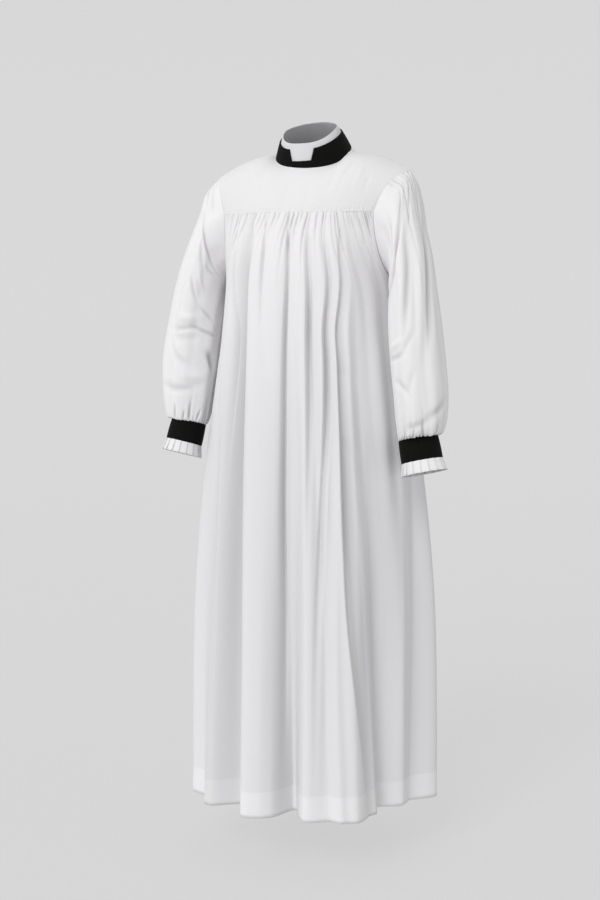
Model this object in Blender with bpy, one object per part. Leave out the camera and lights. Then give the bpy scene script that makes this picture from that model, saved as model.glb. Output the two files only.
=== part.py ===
"""A worn rochet: a long white gown gathered below a plain yoke, with full sleeves gathered into
black wristbands, a pleated frill at each wrist, a black collar that is open at the front, and a
white neckband inside it.

Units are metres, +Z is up and the front faces -Y, so the wearer's left side is at +X. The origin
is the middle of the neck opening, level with the points where the shoulder seams meet the neck.
Every piece is a wall of cloth: rows of points on its outer face, a second set one thickness
inside them, and rims that join the two.
"""

import math
from collections import namedtuple

import bmesh
import bpy
from mathutils import Vector

# Cloth and seams
LAWN = 0.0012
HEM_LAYERS = 2
BAND_CLOTH = 0.0026
FRILL_CLOTH = 0.0010
SEAM_GAP = 0.0003

# Levels of the gown, measured from the neck
YOKE_SEAM_Z = -0.125
UNDERARM_Z = -0.250
HEM_Z = -1.320
HEM_DEPTH = 0.053
HEM_FOLD_STEP = 0.002

# Armholes: their widest places before and behind the arm are on the yoke seams
ARMHOLE_TOP_X = 0.161
ARMHOLE_LOW_X = 0.174
ARMHOLE_FRONT_Y = -0.080
ARMHOLE_BACK_Y = 0.068

# Neck and shoulders
NECK_RADIUS = 0.0762
NECK_TILT = math.radians(21.5)
NECK_SLOPE_IN = 0.40
NECK_FACETS = 36
SHOULDER_TIP = Vector((0.2085, 0.0, -0.0425))
SHOULDER_SEAM_STEPS = 5
YOKE_ROWS = 7
SHOULDER_SEAM_RISE = 0.009
YOKE_BULGE_FRONT = 0.30
YOKE_BULGE_BACK = 0.55
YOKE_BULGE_SHOULDER = 0.80

# Collar and neckband, measured up the slope of the neck from its base ring
COLLAR_STRIP = 0.0040
COLLAR_FRONT = 0.0250
COLLAR_BACK = 0.0340
NECKBAND_CLOTH = 0.0018
NECKBAND_FOOT = 0.0020
NECKBAND_FRONT = 0.0320
NECKBAND_BACK = 0.0460
NOTCH_HALF_ANGLE = math.radians(20)
NOTCH_EDGE = math.radians(1)
NOTCH_STEP = 0.0005
RISE_TO_BACK = math.radians(80)

# Gathers on the two yoke seams; the fades are shares of a panel's half width
FRONT_GATHERS = 38
BACK_GATHERS = 30
GATHER_RISE = 0.0016
GATHER_FADE_Z = -0.240
GATHER_EDGE_FADE = 0.05
GATHER_UNEVENNESS = 0.25
GATHER_SWELLS = 5.4
FOLD_EDGE_FADE = 0.08

# Sleeves; the reaches are shares of a sleeve's length
SLEEVE_COLUMNS = 36
HEAD_GATHER_RISE = 0.0022
HEAD_GATHER_REACH = 0.45
WRIST_GATHER_RISE = 0.0022
WRIST_GATHER_START = 0.75
WRIST_GATHER_GROWTH = 0.20
BEND_START = 0.15
BEND_END = 0.10
PUFF_TURN_IN = 0.72
PUFF_TURN_RISE = 0.005
BODY_CLEARANCE = 0.0030

# Wristbands and frills
BAND_HEIGHT = 0.0455
BAND_FLARE = 0.0018
BAND_FACETS = 36
FRILL_LENGTH = 0.0240
FRILL_PLEATS = 17
FRILL_FLARE = 0.0045
FRILL_ROOT_DEPTH = 0.0004
FRILL_PLEAT_LEAN = 0.6

# One row of points down a frill: its share of the length, and how deep the pleats are there
FrillRow = namedtuple("FrillRow", "share depth")
FRILL_ROWS = (
    FrillRow(share=0.0, depth=FRILL_ROOT_DEPTH),
    FrillRow(share=0.3, depth=0.0020),
    FrillRow(share=1.0, depth=0.0042),
)

# How far down the slope of the neck its seam dips, by degrees round from the front to the
# wearer's left
Dip = namedtuple("Dip", "angle down")
NECKLINE = (
    Dip(angle=-120, down=0.0000),
    Dip(angle=-90, down=0.0012),
    Dip(angle=-60, down=0.0043),
    Dip(angle=-30, down=0.0073),
    Dip(angle=0, down=0.0087),
    Dip(angle=30, down=0.0108),
    Dip(angle=60, down=0.0068),
    Dip(angle=90, down=0.0012),
    Dip(angle=120, down=0.0000),
)

# One level of the body. Above the underarm, half_width is at the armholes and the panels turn
# through front_turn and back_turn degrees from their middles to their edges. Below it,
# half_width is that of the whole ring, and the panels meet at the side seams.
Level = namedtuple("Level", "z half_width front front_turn back back_turn")
LEVELS = (
    Level(z=YOKE_SEAM_Z, half_width=0.161, front=0.127, front_turn=64, back=0.100, back_turn=60),
    Level(z=-0.165, half_width=0.162, front=0.139, front_turn=71, back=0.108, back_turn=68),
    Level(z=-0.205, half_width=0.166, front=0.147, front_turn=79, back=0.113, back_turn=77),
    Level(z=UNDERARM_Z, half_width=0.174, front=0.153, front_turn=90, back=0.117, back_turn=90),
    Level(z=-0.330, half_width=0.179, front=0.158, front_turn=90, back=0.122, back_turn=90),
    Level(z=-0.450, half_width=0.190, front=0.164, front_turn=90, back=0.133, back_turn=90),
    Level(z=-0.580, half_width=0.203, front=0.169, front_turn=90, back=0.147, back_turn=90),
    Level(z=-0.700, half_width=0.210, front=0.174, front_turn=90, back=0.158, back_turn=90),
    Level(z=-0.900, half_width=0.214, front=0.180, front_turn=90, back=0.172, back_turn=90),
    Level(z=-1.100, half_width=0.212, front=0.185, front_turn=90, back=0.182, back_turn=90),
    Level(z=HEM_Z, half_width=0.208, front=0.190, front_turn=90, back=0.190, back_turn=90),
)

# One long fold. Its line crosses the panel at u_seam, u_waist, u_knee and u_hem (-1 and 1 are
# the panel's edges, seen from outside), and it stands out from the body there by rise_seam to
# rise_hem; a negative rise is a groove. left and right are its half widths, as shares of u.
Fold = namedtuple(
    "Fold",
    "u_seam u_waist u_knee u_hem rise_seam rise_waist rise_knee rise_hem left right",
)
FRONT_FOLDS = (
    Fold(-0.62, -0.72, -0.72, -0.72, 0.002, 0.016, 0.040, 0.052, 0.27, 0.22),
    Fold(-0.52, -0.50, -0.47, -0.45, 0.002, 0.012, 0.032, 0.052, 0.20, 0.10),
    Fold(-0.40, -0.36, -0.33, -0.32, -0.002, -0.010, -0.014, -0.020, 0.10, 0.07),
    Fold(-0.28, -0.20, -0.17, -0.17, 0.004, 0.012, 0.020, 0.028, 0.10, 0.20),
    Fold(-0.16, -0.10, -0.08, -0.06, -0.003, 0.000, 0.000, 0.000, 0.05, 0.06),
    Fold(0.05, 0.07, 0.07, 0.07, -0.004, -0.014, -0.036, -0.062, 0.10, 0.12),
    Fold(0.14, 0.17, 0.20, 0.22, 0.003, 0.006, 0.008, 0.006, 0.07, 0.12),
    Fold(0.22, 0.23, 0.26, 0.28, -0.003, -0.006, -0.003, 0.000, 0.05, 0.06),
    Fold(0.31, 0.30, 0.36, 0.42, 0.003, 0.008, 0.012, 0.018, 0.08, 0.20),
    Fold(0.37, 0.34, 0.32, 0.32, -0.004, -0.007, -0.006, 0.000, 0.05, 0.06),
    Fold(0.45, 0.42, 0.46, 0.52, 0.003, 0.008, 0.012, 0.012, 0.08, 0.14),
    Fold(0.56, 0.56, 0.68, 0.80, -0.003, -0.010, -0.020, -0.030, 0.12, 0.18),
    Fold(0.72, 0.74, 0.86, 0.92, 0.002, 0.005, 0.004, 0.000, 0.10, 0.10),
)
BACK_FOLDS = (
    Fold(-0.84, -0.84, -0.82, -0.80, 0.001, 0.016, 0.042, 0.054, 0.15, 0.20),
    Fold(-0.64, -0.60, -0.60, -0.60, -0.003, -0.012, -0.016, -0.022, 0.09, 0.10),
    Fold(-0.46, -0.42, -0.40, -0.40, 0.003, 0.010, 0.022, 0.034, 0.12, 0.16),
    Fold(-0.28, -0.20, -0.17, -0.16, -0.004, -0.011, -0.022, -0.034, 0.09, 0.11),
    Fold(-0.04, 0.02, 0.05, 0.06, 0.004, 0.010, 0.022, 0.036, 0.13, 0.15),
    Fold(0.20, 0.24, 0.26, 0.28, -0.004, -0.011, -0.024, -0.036, 0.10, 0.10),
    Fold(0.44, 0.46, 0.47, 0.48, 0.003, 0.010, 0.022, 0.034, 0.12, 0.14),
    Fold(0.64, 0.66, 0.67, 0.68, -0.003, -0.012, -0.018, -0.026, 0.09, 0.09),
    Fold(0.82, 0.83, 0.83, 0.84, 0.001, 0.010, 0.030, 0.044, 0.12, 0.13),
)
FOLD_LEVELS = (-0.200, -0.520, -0.920, HEM_Z)
FOLDS_START_Z = -0.135

# Levels of the rows of points on a panel
PANEL_ROWS = (
    YOKE_SEAM_Z, -0.134, -0.152, -0.178, -0.210, UNDERARM_Z, -0.320, -0.430, -0.580,
    -0.760, -0.960, -1.150, HEM_Z + HEM_DEPTH + HEM_FOLD_STEP, HEM_Z + HEM_DEPTH, HEM_Z,
)

# One ring along an arm, from the armhole to the wrist. top is the ring's outermost point and
# under its innermost, both as distances from the middle of the body; y is the ring's middle and
# depth its half size from front to back.
Ring = namedtuple("Ring", "top_x top_z under_x under_z y depth")
LEFT_RINGS = (
    Ring(0.214, -0.058, 0.1785, -0.2555, -0.003, 0.081),
    Ring(0.228, -0.100, 0.184, -0.268, -0.012, 0.081),
    Ring(0.243, -0.150, 0.187, -0.284, -0.028, 0.077),
    Ring(0.262, -0.205, 0.189, -0.304, -0.042, 0.072),
    Ring(0.277, -0.265, 0.191, -0.328, -0.055, 0.067),
    Ring(0.292, -0.335, 0.194, -0.366, -0.064, 0.062),
    Ring(0.303, -0.410, 0.200, -0.420, -0.068, 0.060),
    Ring(0.309, -0.470, 0.206, -0.474, -0.069, 0.058),
    Ring(0.307, -0.515, 0.210, -0.518, -0.067, 0.055),
    Ring(0.300, -0.537, 0.213, -0.545, -0.065, 0.048),
)
RIGHT_RINGS = (
    Ring(0.217, -0.058, 0.1785, -0.2555, -0.003, 0.083),
    Ring(0.229, -0.100, 0.184, -0.268, -0.009, 0.083),
    Ring(0.248, -0.150, 0.187, -0.284, -0.016, 0.081),
    Ring(0.268, -0.205, 0.189, -0.304, -0.024, 0.077),
    Ring(0.285, -0.265, 0.191, -0.328, -0.031, 0.073),
    Ring(0.299, -0.335, 0.194, -0.366, -0.038, 0.069),
    Ring(0.311, -0.405, 0.198, -0.418, -0.045, 0.066),
    Ring(0.311, -0.460, 0.203, -0.468, -0.051, 0.063),
    Ring(0.306, -0.500, 0.209, -0.505, -0.056, 0.057),
    Ring(0.299, -0.526, 0.214, -0.530, -0.060, 0.050),
)

# One soft bend of a sleeve: a ridge or a groove that runs along the arm, at an angle round it
# (0 is the outside, 90 the front), from the head to the wrist.
Bend = namedtuple("Bend", "angle_head angle_wrist rise_head rise_elbow rise_wrist width")
LEFT_BENDS = (
    Bend(20, 40, 0.003, 0.004, 0.002, 22),
    Bend(48, 62, -0.003, -0.005, -0.003, 18),
    Bend(75, 92, 0.003, 0.005, 0.003, 22),
    Bend(105, 120, -0.002, -0.005, -0.003, 20),
    Bend(150, 160, 0.000, 0.003, 0.002, 26),
    Bend(215, 205, 0.000, -0.004, -0.003, 22),
    Bend(260, 250, 0.002, 0.004, 0.002, 24),
    Bend(300, 290, -0.003, -0.005, -0.003, 22),
)
RIGHT_BENDS = (
    Bend(12, 15, -0.003, -0.004, -0.002, 20),
    Bend(40, 38, 0.003, 0.005, 0.003, 22),
    Bend(66, 66, -0.003, -0.006, -0.003, 18),
    Bend(94, 96, 0.003, 0.005, 0.003, 22),
    Bend(124, 132, -0.002, -0.004, -0.002, 20),
    Bend(220, 215, 0.000, -0.003, -0.003, 22),
    Bend(262, 258, 0.002, 0.005, 0.002, 24),
    Bend(305, 300, -0.003, -0.005, -0.003, 20),
)

# A wristband: the middle of its top edge, how far its foot leans from its head for each metre
# down, and its half sizes across and from front to back.
Wrist = namedtuple("Wrist", "side top lean_x lean_y across deep")
LEFT_WRIST = Wrist(1, Vector((0.2505, -0.063, -0.5600)), 0.24, -0.12, 0.0395, 0.0345)
RIGHT_WRIST = Wrist(-1, Vector((-0.2545, -0.063, -0.5455)), -0.16, -0.24, 0.0345, 0.0405)

# Finishes: colour and roughness
WHITE_COTTON = ("white_cotton", (0.80, 0.80, 0.79, 1.0), 0.85)
BLACK_COTTON = ("black_cotton", (0.012, 0.012, 0.011, 1.0), 0.80)


def hermite(keys, data, value):
    """A value on a smooth curve through data at rising keys."""
    if value <= keys[0]:
        return data[0]
    if value >= keys[-1]:
        return data[-1]
    i = max(n for n in range(len(keys) - 1) if keys[n] <= value)

    def slope(n):
        low, high = max(n - 1, 0), min(n + 1, len(keys) - 1)
        return (data[high] - data[low]) / (keys[high] - keys[low])

    width = keys[i + 1] - keys[i]
    t = (value - keys[i]) / width
    return (
        data[i] * (2 * t**3 - 3 * t**2 + 1)
        + data[i + 1] * (3 * t**2 - 2 * t**3)
        + slope(i) * width * (t**3 - 2 * t**2 + t)
        + slope(i + 1) * width * (t**3 - t**2)
    )


def level(column, z):
    """A column of the table of body levels at any height."""
    rows = tuple(reversed(LEVELS))
    return hermite([row.z for row in rows], [getattr(row, column) for row in rows], z)


def smooth(t):
    """An even rise from 0 to 1."""
    t = min(max(t, 0.0), 1.0)
    return t * t * (3 - 2 * t)


def bell(offset, left, right):
    """1 at no offset, falling smoothly to 0 at left before it and at right after it."""
    reach = left if offset < 0 else right
    if abs(offset) >= reach:
        return 0.0
    return 0.5 + 0.5 * math.cos(math.pi * offset / reach)


class Panel:
    """The front or the back of the gown below its yoke."""

    def __init__(self, side, armhole_y, folds, gathers):
        self.side = side
        self.face = "front" if side > 0 else "back"
        self.armhole_y = armhole_y
        self.folds = folds
        self.gathers = gathers

    def edge(self, z):
        """The panel's edge, without its side: on the armhole, or below it on the side seam."""
        if z <= UNDERARM_Z:
            return level("half_width", z), 0.0
        down = (YOKE_SEAM_Z - z) / (YOKE_SEAM_Z - UNDERARM_Z)
        across = ARMHOLE_TOP_X + (ARMHOLE_LOW_X - ARMHOLE_TOP_X) * down**2
        return across, self.armhole_y * math.sqrt(max(1 - down**2, 0.0))

    def plain(self, u, z):
        """A point and the outward direction of the panel, with no gathers or folds."""
        across, edge_y = self.edge(z)
        middle_y = -self.side * level(self.face, z)
        turn = math.radians(level(self.face + "_turn", z))
        angle = u * turn
        share = (math.cos(angle) - math.cos(turn)) / (1 - math.cos(turn))
        x = self.side * across * math.sin(angle) / math.sin(turn)
        y = edge_y + (middle_y - edge_y) * share
        along_x = self.side * across * math.cos(angle) / math.sin(turn)
        along_y = (edge_y - middle_y) * math.sin(angle) / (1 - math.cos(turn))
        return Vector((x, y, z)), Vector((along_y, -along_x, 0)).normalized()

    def fold_rise(self, u, z):
        """How far the long folds stand out at a point."""
        keys = tuple(-z_level for z_level in FOLD_LEVELS)
        rise = 0.0
        for fold in self.folds:
            middle = hermite(keys, fold[0:4], -z)
            height = hermite(keys, fold[4:8], -z)
            rise += height * bell(u - middle, fold.left, fold.right)
        start = smooth((FOLDS_START_Z - z) / (FOLDS_START_Z - FOLD_LEVELS[0]))
        return rise * start * smooth((1 - abs(u)) / FOLD_EDGE_FADE)

    def gather_rise(self, u, z):
        """How far the gathers stand out, with a crest on every second column of points."""
        fade = smooth((z - GATHER_FADE_Z) / (YOKE_SEAM_Z - GATHER_FADE_Z))
        swell = math.sin(math.pi * GATHER_SWELLS * (u + 1))
        uneven = 1 - GATHER_UNEVENNESS + GATHER_UNEVENNESS * swell
        crest = math.cos(math.pi * self.gathers * (u + 1))
        return GATHER_RISE * fade * uneven * crest * smooth((1 - abs(u)) / GATHER_EDGE_FADE)

    def outer(self, u, z):
        """A point of the panel's outer face."""
        point, outward = self.plain(u, z)
        return point + outward * (self.fold_rise(u, z) + self.gather_rise(u, z))

    def solid(self, name):
        """The panel's wall, doubled inward where the hem is turned up."""
        columns = [j / self.gathers - 1 for j in range(2 * self.gathers + 1)]
        rows = [[self.outer(u, z) for u in columns] for z in PANEL_ROWS]
        for row in rows:
            for edge in (row[0], row[-1]):
                edge.y -= self.side * SEAM_GAP / 2 * (edge.z <= UNDERARM_Z)
        for point in rows[0]:
            point.z -= SEAM_GAP / 2
        hem_rows = len(rows) - 2
        thickness = [LAWN * (HEM_LAYERS if i >= hem_rows else 1) for i in range(len(rows))]
        inner = inset(rows, thickness, closed=False, level_rows=(0, len(rows) - 1))
        for j in (0, -1):
            for i, row in enumerate(rows):
                if row[j].z <= UNDERARM_Z:
                    inner[i][j].y = row[j].y
        wall(name, rows, inner, closed=False, finish=WHITE_COTTON)
        return rows, inner


FRONT = Panel(1, ARMHOLE_FRONT_Y, FRONT_FOLDS, FRONT_GATHERS)
BACK = Panel(-1, ARMHOLE_BACK_Y, BACK_FOLDS, BACK_GATHERS)


def inset(rows, thickness, closed, level_rows=()):
    """Points one thickness inside each point of the rows, square to the surface."""
    inner = []
    for i, row in enumerate(rows):
        last = len(row) - 1
        above = rows[max(i - 1, 0)]
        below = rows[min(i + 1, len(rows) - 1)]
        inner_row = []
        for j, point in enumerate(row):
            if closed:
                left, right = row[j - 1], row[(j + 1) % len(row)]
            else:
                left, right = row[max(j - 1, 0)], row[min(j + 1, last)]
            outward = (right - left).cross(above[j] - below[j])
            if i in level_rows:
                outward.z = 0
            inner_row.append(point - outward.normalized() * thickness[i])
        inner.append(inner_row)
    return inner


def finish_material(finish):
    """The material of a finish, made once."""
    name, colour, roughness = finish
    material = bpy.data.materials.get(name)
    if material is None:
        material = bpy.data.materials.new(name)
        material.use_nodes = True
        shader = material.node_tree.nodes["Principled BSDF"]
        shader.inputs["Base Color"].default_value = colour
        shader.inputs["Roughness"].default_value = roughness
        shader.inputs["Metallic"].default_value = 0.0
        material.diffuse_color = colour
    return material


def wall(name, outer, inner, closed, finish):
    """A closed solid between rows of outer points and the rows of points inside them."""
    mesh_builder = bmesh.new()
    faces = {"outer": outer, "inner": inner}
    vertex = {
        (face, i, j): mesh_builder.verts.new(point)
        for face, rows in faces.items()
        for i, row in enumerate(rows)
        for j, point in enumerate(row)
    }
    row_count, column_count = len(outer), len(outer[0])
    spans = column_count if closed else column_count - 1
    for i in range(row_count - 1):
        for j in range(spans):
            k = (j + 1) % column_count
            corners = (i, j), (i + 1, j), (i + 1, k), (i, k)
            mesh_builder.faces.new([vertex["outer", m, n] for m, n in corners])
            mesh_builder.faces.new([vertex["inner", m, n] for m, n in reversed(corners)])
    for j in range(spans):
        k = (j + 1) % column_count
        for i, (first, second) in ((0, (j, k)), (row_count - 1, (k, j))):
            rim = (("outer", first), ("outer", second), ("inner", second), ("inner", first))
            mesh_builder.faces.new([vertex[face, i, n] for face, n in rim])
    if not closed:
        for i in range(row_count - 1):
            for j, (first, second) in ((0, (i + 1, i)), (column_count - 1, (i, i + 1))):
                rim = (("outer", first), ("outer", second), ("inner", second), ("inner", first))
                mesh_builder.faces.new([vertex[face, m, j] for face, m in rim])
    bmesh.ops.triangulate(mesh_builder, faces=mesh_builder.faces[:])
    bmesh.ops.recalc_face_normals(mesh_builder, faces=mesh_builder.faces[:])
    mesh = bpy.data.meshes.new(name)
    mesh_builder.to_mesh(mesh)
    mesh_builder.free()
    mesh.shade_smooth()
    mesh.set_sharp_from_angle(angle=math.radians(50))
    mesh.materials.append(finish_material(finish))
    piece = bpy.data.objects.new(name, mesh)
    bpy.context.scene.collection.objects.link(piece)
    return piece


def neck_point(angle, up, radius=NECK_RADIUS):
    """A point of the neck's cone. The angle runs from the front, and up is along the neck."""
    ring = Vector((math.sin(angle), -math.cos(angle), 0)) * (radius - NECK_SLOPE_IN * up)
    across = Vector((ring.x, ring.y * math.cos(NECK_TILT), ring.y * math.sin(NECK_TILT)))
    return across + neck_axis() * up


def neck_axis():
    """The direction in which the neck rises, leaning forward."""
    return Vector((0, -math.sin(NECK_TILT), math.cos(NECK_TILT)))


def neckline(angle):
    """The neck seam's place up the slope of the neck: it dips at the front."""
    keys = [dip.angle for dip in NECKLINE]
    return -hermite(keys, [dip.down for dip in NECKLINE], math.degrees(angle))


def yoke_columns():
    """Each column of a yoke as its place along the neck or shoulder: (angle, 0) or (side, share)."""
    half = NECK_FACETS // 4
    neck = [("neck", j * math.pi / 2 / half) for j in range(-half, half + 1)]
    left = [("seam", -(j / SHOULDER_SEAM_STEPS)) for j in range(SHOULDER_SEAM_STEPS, 0, -1)]
    right = [("seam", j / SHOULDER_SEAM_STEPS) for j in range(1, SHOULDER_SEAM_STEPS + 1)]
    return left + neck + right


def yoke(name, panel):
    """The front or back yoke, from the neck and shoulder seams down to the gathered panel."""
    places = yoke_columns()
    last = len(places) - 1
    middle_bulge = YOKE_BULGE_FRONT if panel.side > 0 else YOKE_BULGE_BACK
    rows, top_inward = [[] for _ in range(YOKE_ROWS)], []
    for j, (kind, place) in enumerate(places):
        u = 2 * j / last - 1
        if kind == "neck":
            angle = place if panel.side > 0 else math.copysign(math.pi, -place) + place
            top = neck_point(angle, neckline(angle) - SEAM_GAP)
            radial = (neck_point(angle, 0) - neck_point(angle, 0, 0)).normalized()
            top_inward.append(-(radial + neck_axis()).normalized())
            to_side = abs(place) / (math.pi / 2)
            bulge = middle_bulge + (YOKE_BULGE_SHOULDER - middle_bulge) * to_side
        else:
            side = panel.side * math.copysign(1, place)
            share = abs(place)
            neck_side = side * math.pi / 2
            tip = Vector((side * SHOULDER_TIP.x, SHOULDER_TIP.y, SHOULDER_TIP.z))
            top = neck_point(neck_side, neckline(neck_side) - SEAM_GAP).lerp(tip, share)
            top.z += SHOULDER_SEAM_RISE * 4 * share * (1 - share)
            top_inward.append(Vector((0, 0, -1)))
            bulge = YOKE_BULGE_SHOULDER
        if kind == "seam" or math.isclose(to_side, 1.0):
            top.y = -panel.side * SEAM_GAP / 2
        foot = panel.plain(u, YOKE_SEAM_Z)[0] + Vector((0, 0, SEAM_GAP / 2))
        middle = (top + foot) / 2
        corner = Vector((middle.x, foot.y, top.z))
        control = middle.lerp(corner, bulge)
        for i in range(YOKE_ROWS):
            t = i / (YOKE_ROWS - 1)
            rows[i].append(top * (1 - t) ** 2 + control * 2 * t * (1 - t) + foot * t**2)
    inner = inset(rows, [LAWN] * YOKE_ROWS, closed=False, level_rows=(YOKE_ROWS - 1,))
    inner[0] = [point + inward * LAWN for point, inward in zip(rows[0], top_inward)]
    wall(name, rows, inner, closed=False, finish=WHITE_COTTON)
    return rows, inner


def armhole(side, yokes, panels):
    """The armhole's edge, from the shoulder tip down the front and up the back.

    Each place is its point, the direction out of the cloth, and the direction off its edge.
    """
    edge = []
    for (yoke_rows, yoke_inner), (panel_rows, panel_inner), facing in zip(yokes, panels, (1, -1)):
        column, beside = (-1, -2) if side * facing > 0 else (0, 1)
        part = []
        for rows, inner in ((yoke_rows, yoke_inner), (panel_rows, panel_inner)):
            for row, inner_row in zip(rows, inner):
                point = row[column]
                if point.z < UNDERARM_Z - SEAM_GAP or rows is panel_rows and row is rows[0]:
                    continue
                outward = (point - inner_row[column]).normalized()
                part.append((point, outward, point - row[beside]))
        edge.append(part)
    front, back = edge
    loop = front + list(reversed(back))[1:-1]
    places = []
    for i, (point, outward, away) in enumerate(loop):
        along = loop[(i + 1) % len(loop)][0] - loop[i - 1][0]
        off = along.cross(outward).normalized()
        if off.dot(away) < 0:
            off.negate()
        places.append((point, outward, off))
    return places


def sleeve_start(places, columns):
    """The sleeve's first ring, just off the armhole's edge, and the directions off that edge."""
    lengths = [0.0]
    for i in range(len(places)):
        step = (places[(i + 1) % len(places)][0] - places[i][0]).length
        lengths.append(lengths[-1] + step)
    underarm = min(range(len(places)), key=lambda i: places[i][0].z)
    ring, offs = [], []
    for j in range(columns):
        half = columns // 2
        if j <= half:
            target = lengths[underarm] * j / half
        else:
            target = lengths[underarm] + (lengths[-1] - lengths[underarm]) * (j - half) / half
        i = max(n for n in range(len(places)) if lengths[n] <= target + 1e-9)
        share = (target - lengths[i]) / (lengths[i + 1] - lengths[i])
        ends = places[i], places[(i + 1) % len(places)]
        point, outward, off = (ends[0][n].lerp(ends[1][n], share) for n in range(3))
        off.normalize()
        ring.append(point + (off + outward.normalized()) * SEAM_GAP)
        offs.append(off)
    return ring, offs


def clear_of_body(point):
    """The point moved sideways until it is clear of the body below the underarm."""
    if point.z > UNDERARM_Z:
        return point
    half_width = level("half_width", point.z)
    depth = level("front" if point.y < 0 else "back", point.z)
    if abs(point.y) >= depth:
        return point
    body_x = half_width * math.sqrt(1 - (point.y / depth) ** 2) + BODY_CLEARANCE
    if abs(point.x) < body_x:
        point.x = math.copysign(body_x, point.x)
    return point


def bend_rise(bends, angle, along):
    """How far a sleeve's soft bends stand out, along running from 0 at its head to 1."""
    rise = 0.0
    for bend in bends:
        middle = bend.angle_head + (bend.angle_wrist - bend.angle_head) * along
        height = hermite((0.0, 0.5, 1.0), (bend.rise_head, bend.rise_elbow, bend.rise_wrist), along)
        offset = (angle - middle + 180) % 360 - 180
        rise += height * bell(offset, bend.width, bend.width)
    return rise * smooth(along / BEND_START) * smooth((1 - along) / BEND_END)


def sleeve(name, rings, bends, wrist, places):
    """A sleeve, gathered into its armhole above and into its wristband below."""
    start, offs = sleeve_start(places, SLEEVE_COLUMNS)
    rows = [start]
    for i, ring in enumerate(rings):
        along = (i + 1) / len(rings)
        top = Vector((wrist.side * ring.top_x, ring.y, ring.top_z))
        under = Vector((wrist.side * ring.under_x, ring.y, ring.under_z))
        middle, reach = (top + under) / 2, (top - under) / 2
        row = []
        for j in range(SLEEVE_COLUMNS):
            angle = 360 * j / SLEEVE_COLUMNS
            turn = math.radians(angle)
            ray = reach * math.cos(turn) + Vector((0, -ring.depth * math.sin(turn), 0))
            crest = 1 if j % 2 == 0 else -1
            over_shoulder = smooth(0.6 + math.cos(turn))
            head = HEAD_GATHER_RISE * smooth(1 - along / HEAD_GATHER_REACH) * over_shoulder
            foot = WRIST_GATHER_RISE * smooth((along - WRIST_GATHER_START) / WRIST_GATHER_GROWTH)
            rise = bend_rise(bends, angle, along) + crest * (head + foot)
            row.append(clear_of_body(middle + ray * (1 + rise / ray.length)))
        rows.append(row)
    cuff_top = band_ring(wrist, 0.0, SLEEVE_COLUMNS, SEAM_GAP)
    turn_in = [point.lerp(edge, PUFF_TURN_IN) for point, edge in zip(rows[-1], cuff_top)]
    for point in turn_in:
        point.z += PUFF_TURN_RISE
    rows += [turn_in, cuff_top]
    last_inner = band_ring(wrist, 0.0, SLEEVE_COLUMNS, SEAM_GAP, narrower=LAWN)
    if wrist.side > 0:
        for ring in (*rows, offs, last_inner):
            ring.reverse()
    inner_rows = inset(rows, [LAWN] * len(rows), closed=True)
    for j, off in enumerate(offs):
        outward = (start[j] - inner_rows[0][j]).normalized()
        outward -= off * max(outward.dot(off), 0.0)
        inner_rows[0][j] = start[j] - outward.normalized() * LAWN
    inner_rows[-1] = last_inner
    wall(name, rows, inner_rows, closed=True, finish=WHITE_COTTON)


def band_ring(wrist, down, facets, above=0.0, narrower=0.0, wave=None):
    """A ring of points round a wrist, down its axis from the top of the band.

    above moves the whole ring back up the axis, and wave adds to the radius of each point.
    """
    axis = Vector((wrist.lean_x, wrist.lean_y, -1.0)).normalized()
    deep = Vector((0, -1, 0))
    deep = (deep - axis * deep.dot(axis)).normalized()
    across = axis.cross(deep) * -1
    if across.x * wrist.side < 0:
        across.negate()
    middle = wrist.top + axis * (down - above)
    flare = BAND_FLARE * down / BAND_HEIGHT - narrower
    ring = []
    for j in range(facets):
        turn = 2 * math.pi * j / facets
        extra = flare + (wave(j) if wave else 0.0)
        ring.append(
            middle
            + across * (wrist.across + extra) * math.cos(turn)
            + deep * (wrist.deep + extra) * math.sin(turn)
        )
    return ring


def wristband(name, wrist):
    """A wristband: a straight band of two layers that widens a little to the hand."""
    downs = (0.0, BAND_HEIGHT / 2, BAND_HEIGHT)
    rows = [band_ring(wrist, down, BAND_FACETS) for down in downs]
    inner = [band_ring(wrist, down, BAND_FACETS, narrower=BAND_CLOTH) for down in downs]
    wall(name, rows, inner, closed=True, finish=BLACK_COTTON)


def frill(name, wrist):
    """A frill of pleats that hangs from the wristband's lower edge."""
    facets = FRILL_PLEATS * 4
    middle = (BAND_CLOTH - FRILL_CLOTH) / 2
    rows, inner = [], []
    for row in FRILL_ROWS:

        def wave(j, depth=row.depth, out=FRILL_FLARE * row.share):
            return out + depth * math.cos(math.pi * j / 2 + FRILL_PLEAT_LEAN)

        down = BAND_HEIGHT + SEAM_GAP + FRILL_LENGTH * row.share
        rows.append(band_ring(wrist, down, facets, narrower=middle, wave=wave))
        inner.append(band_ring(wrist, down, facets, narrower=middle + FRILL_CLOTH, wave=wave))
    wall(name, rows, inner, closed=True, finish=WHITE_COTTON)


def rise_to_back(angle, front, back):
    """A height that is the front's over the notch and grows to the back's behind the ears."""
    return front + (back - front) * smooth((abs(angle) - NOTCH_HALF_ANGLE) / RISE_TO_BACK)


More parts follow.
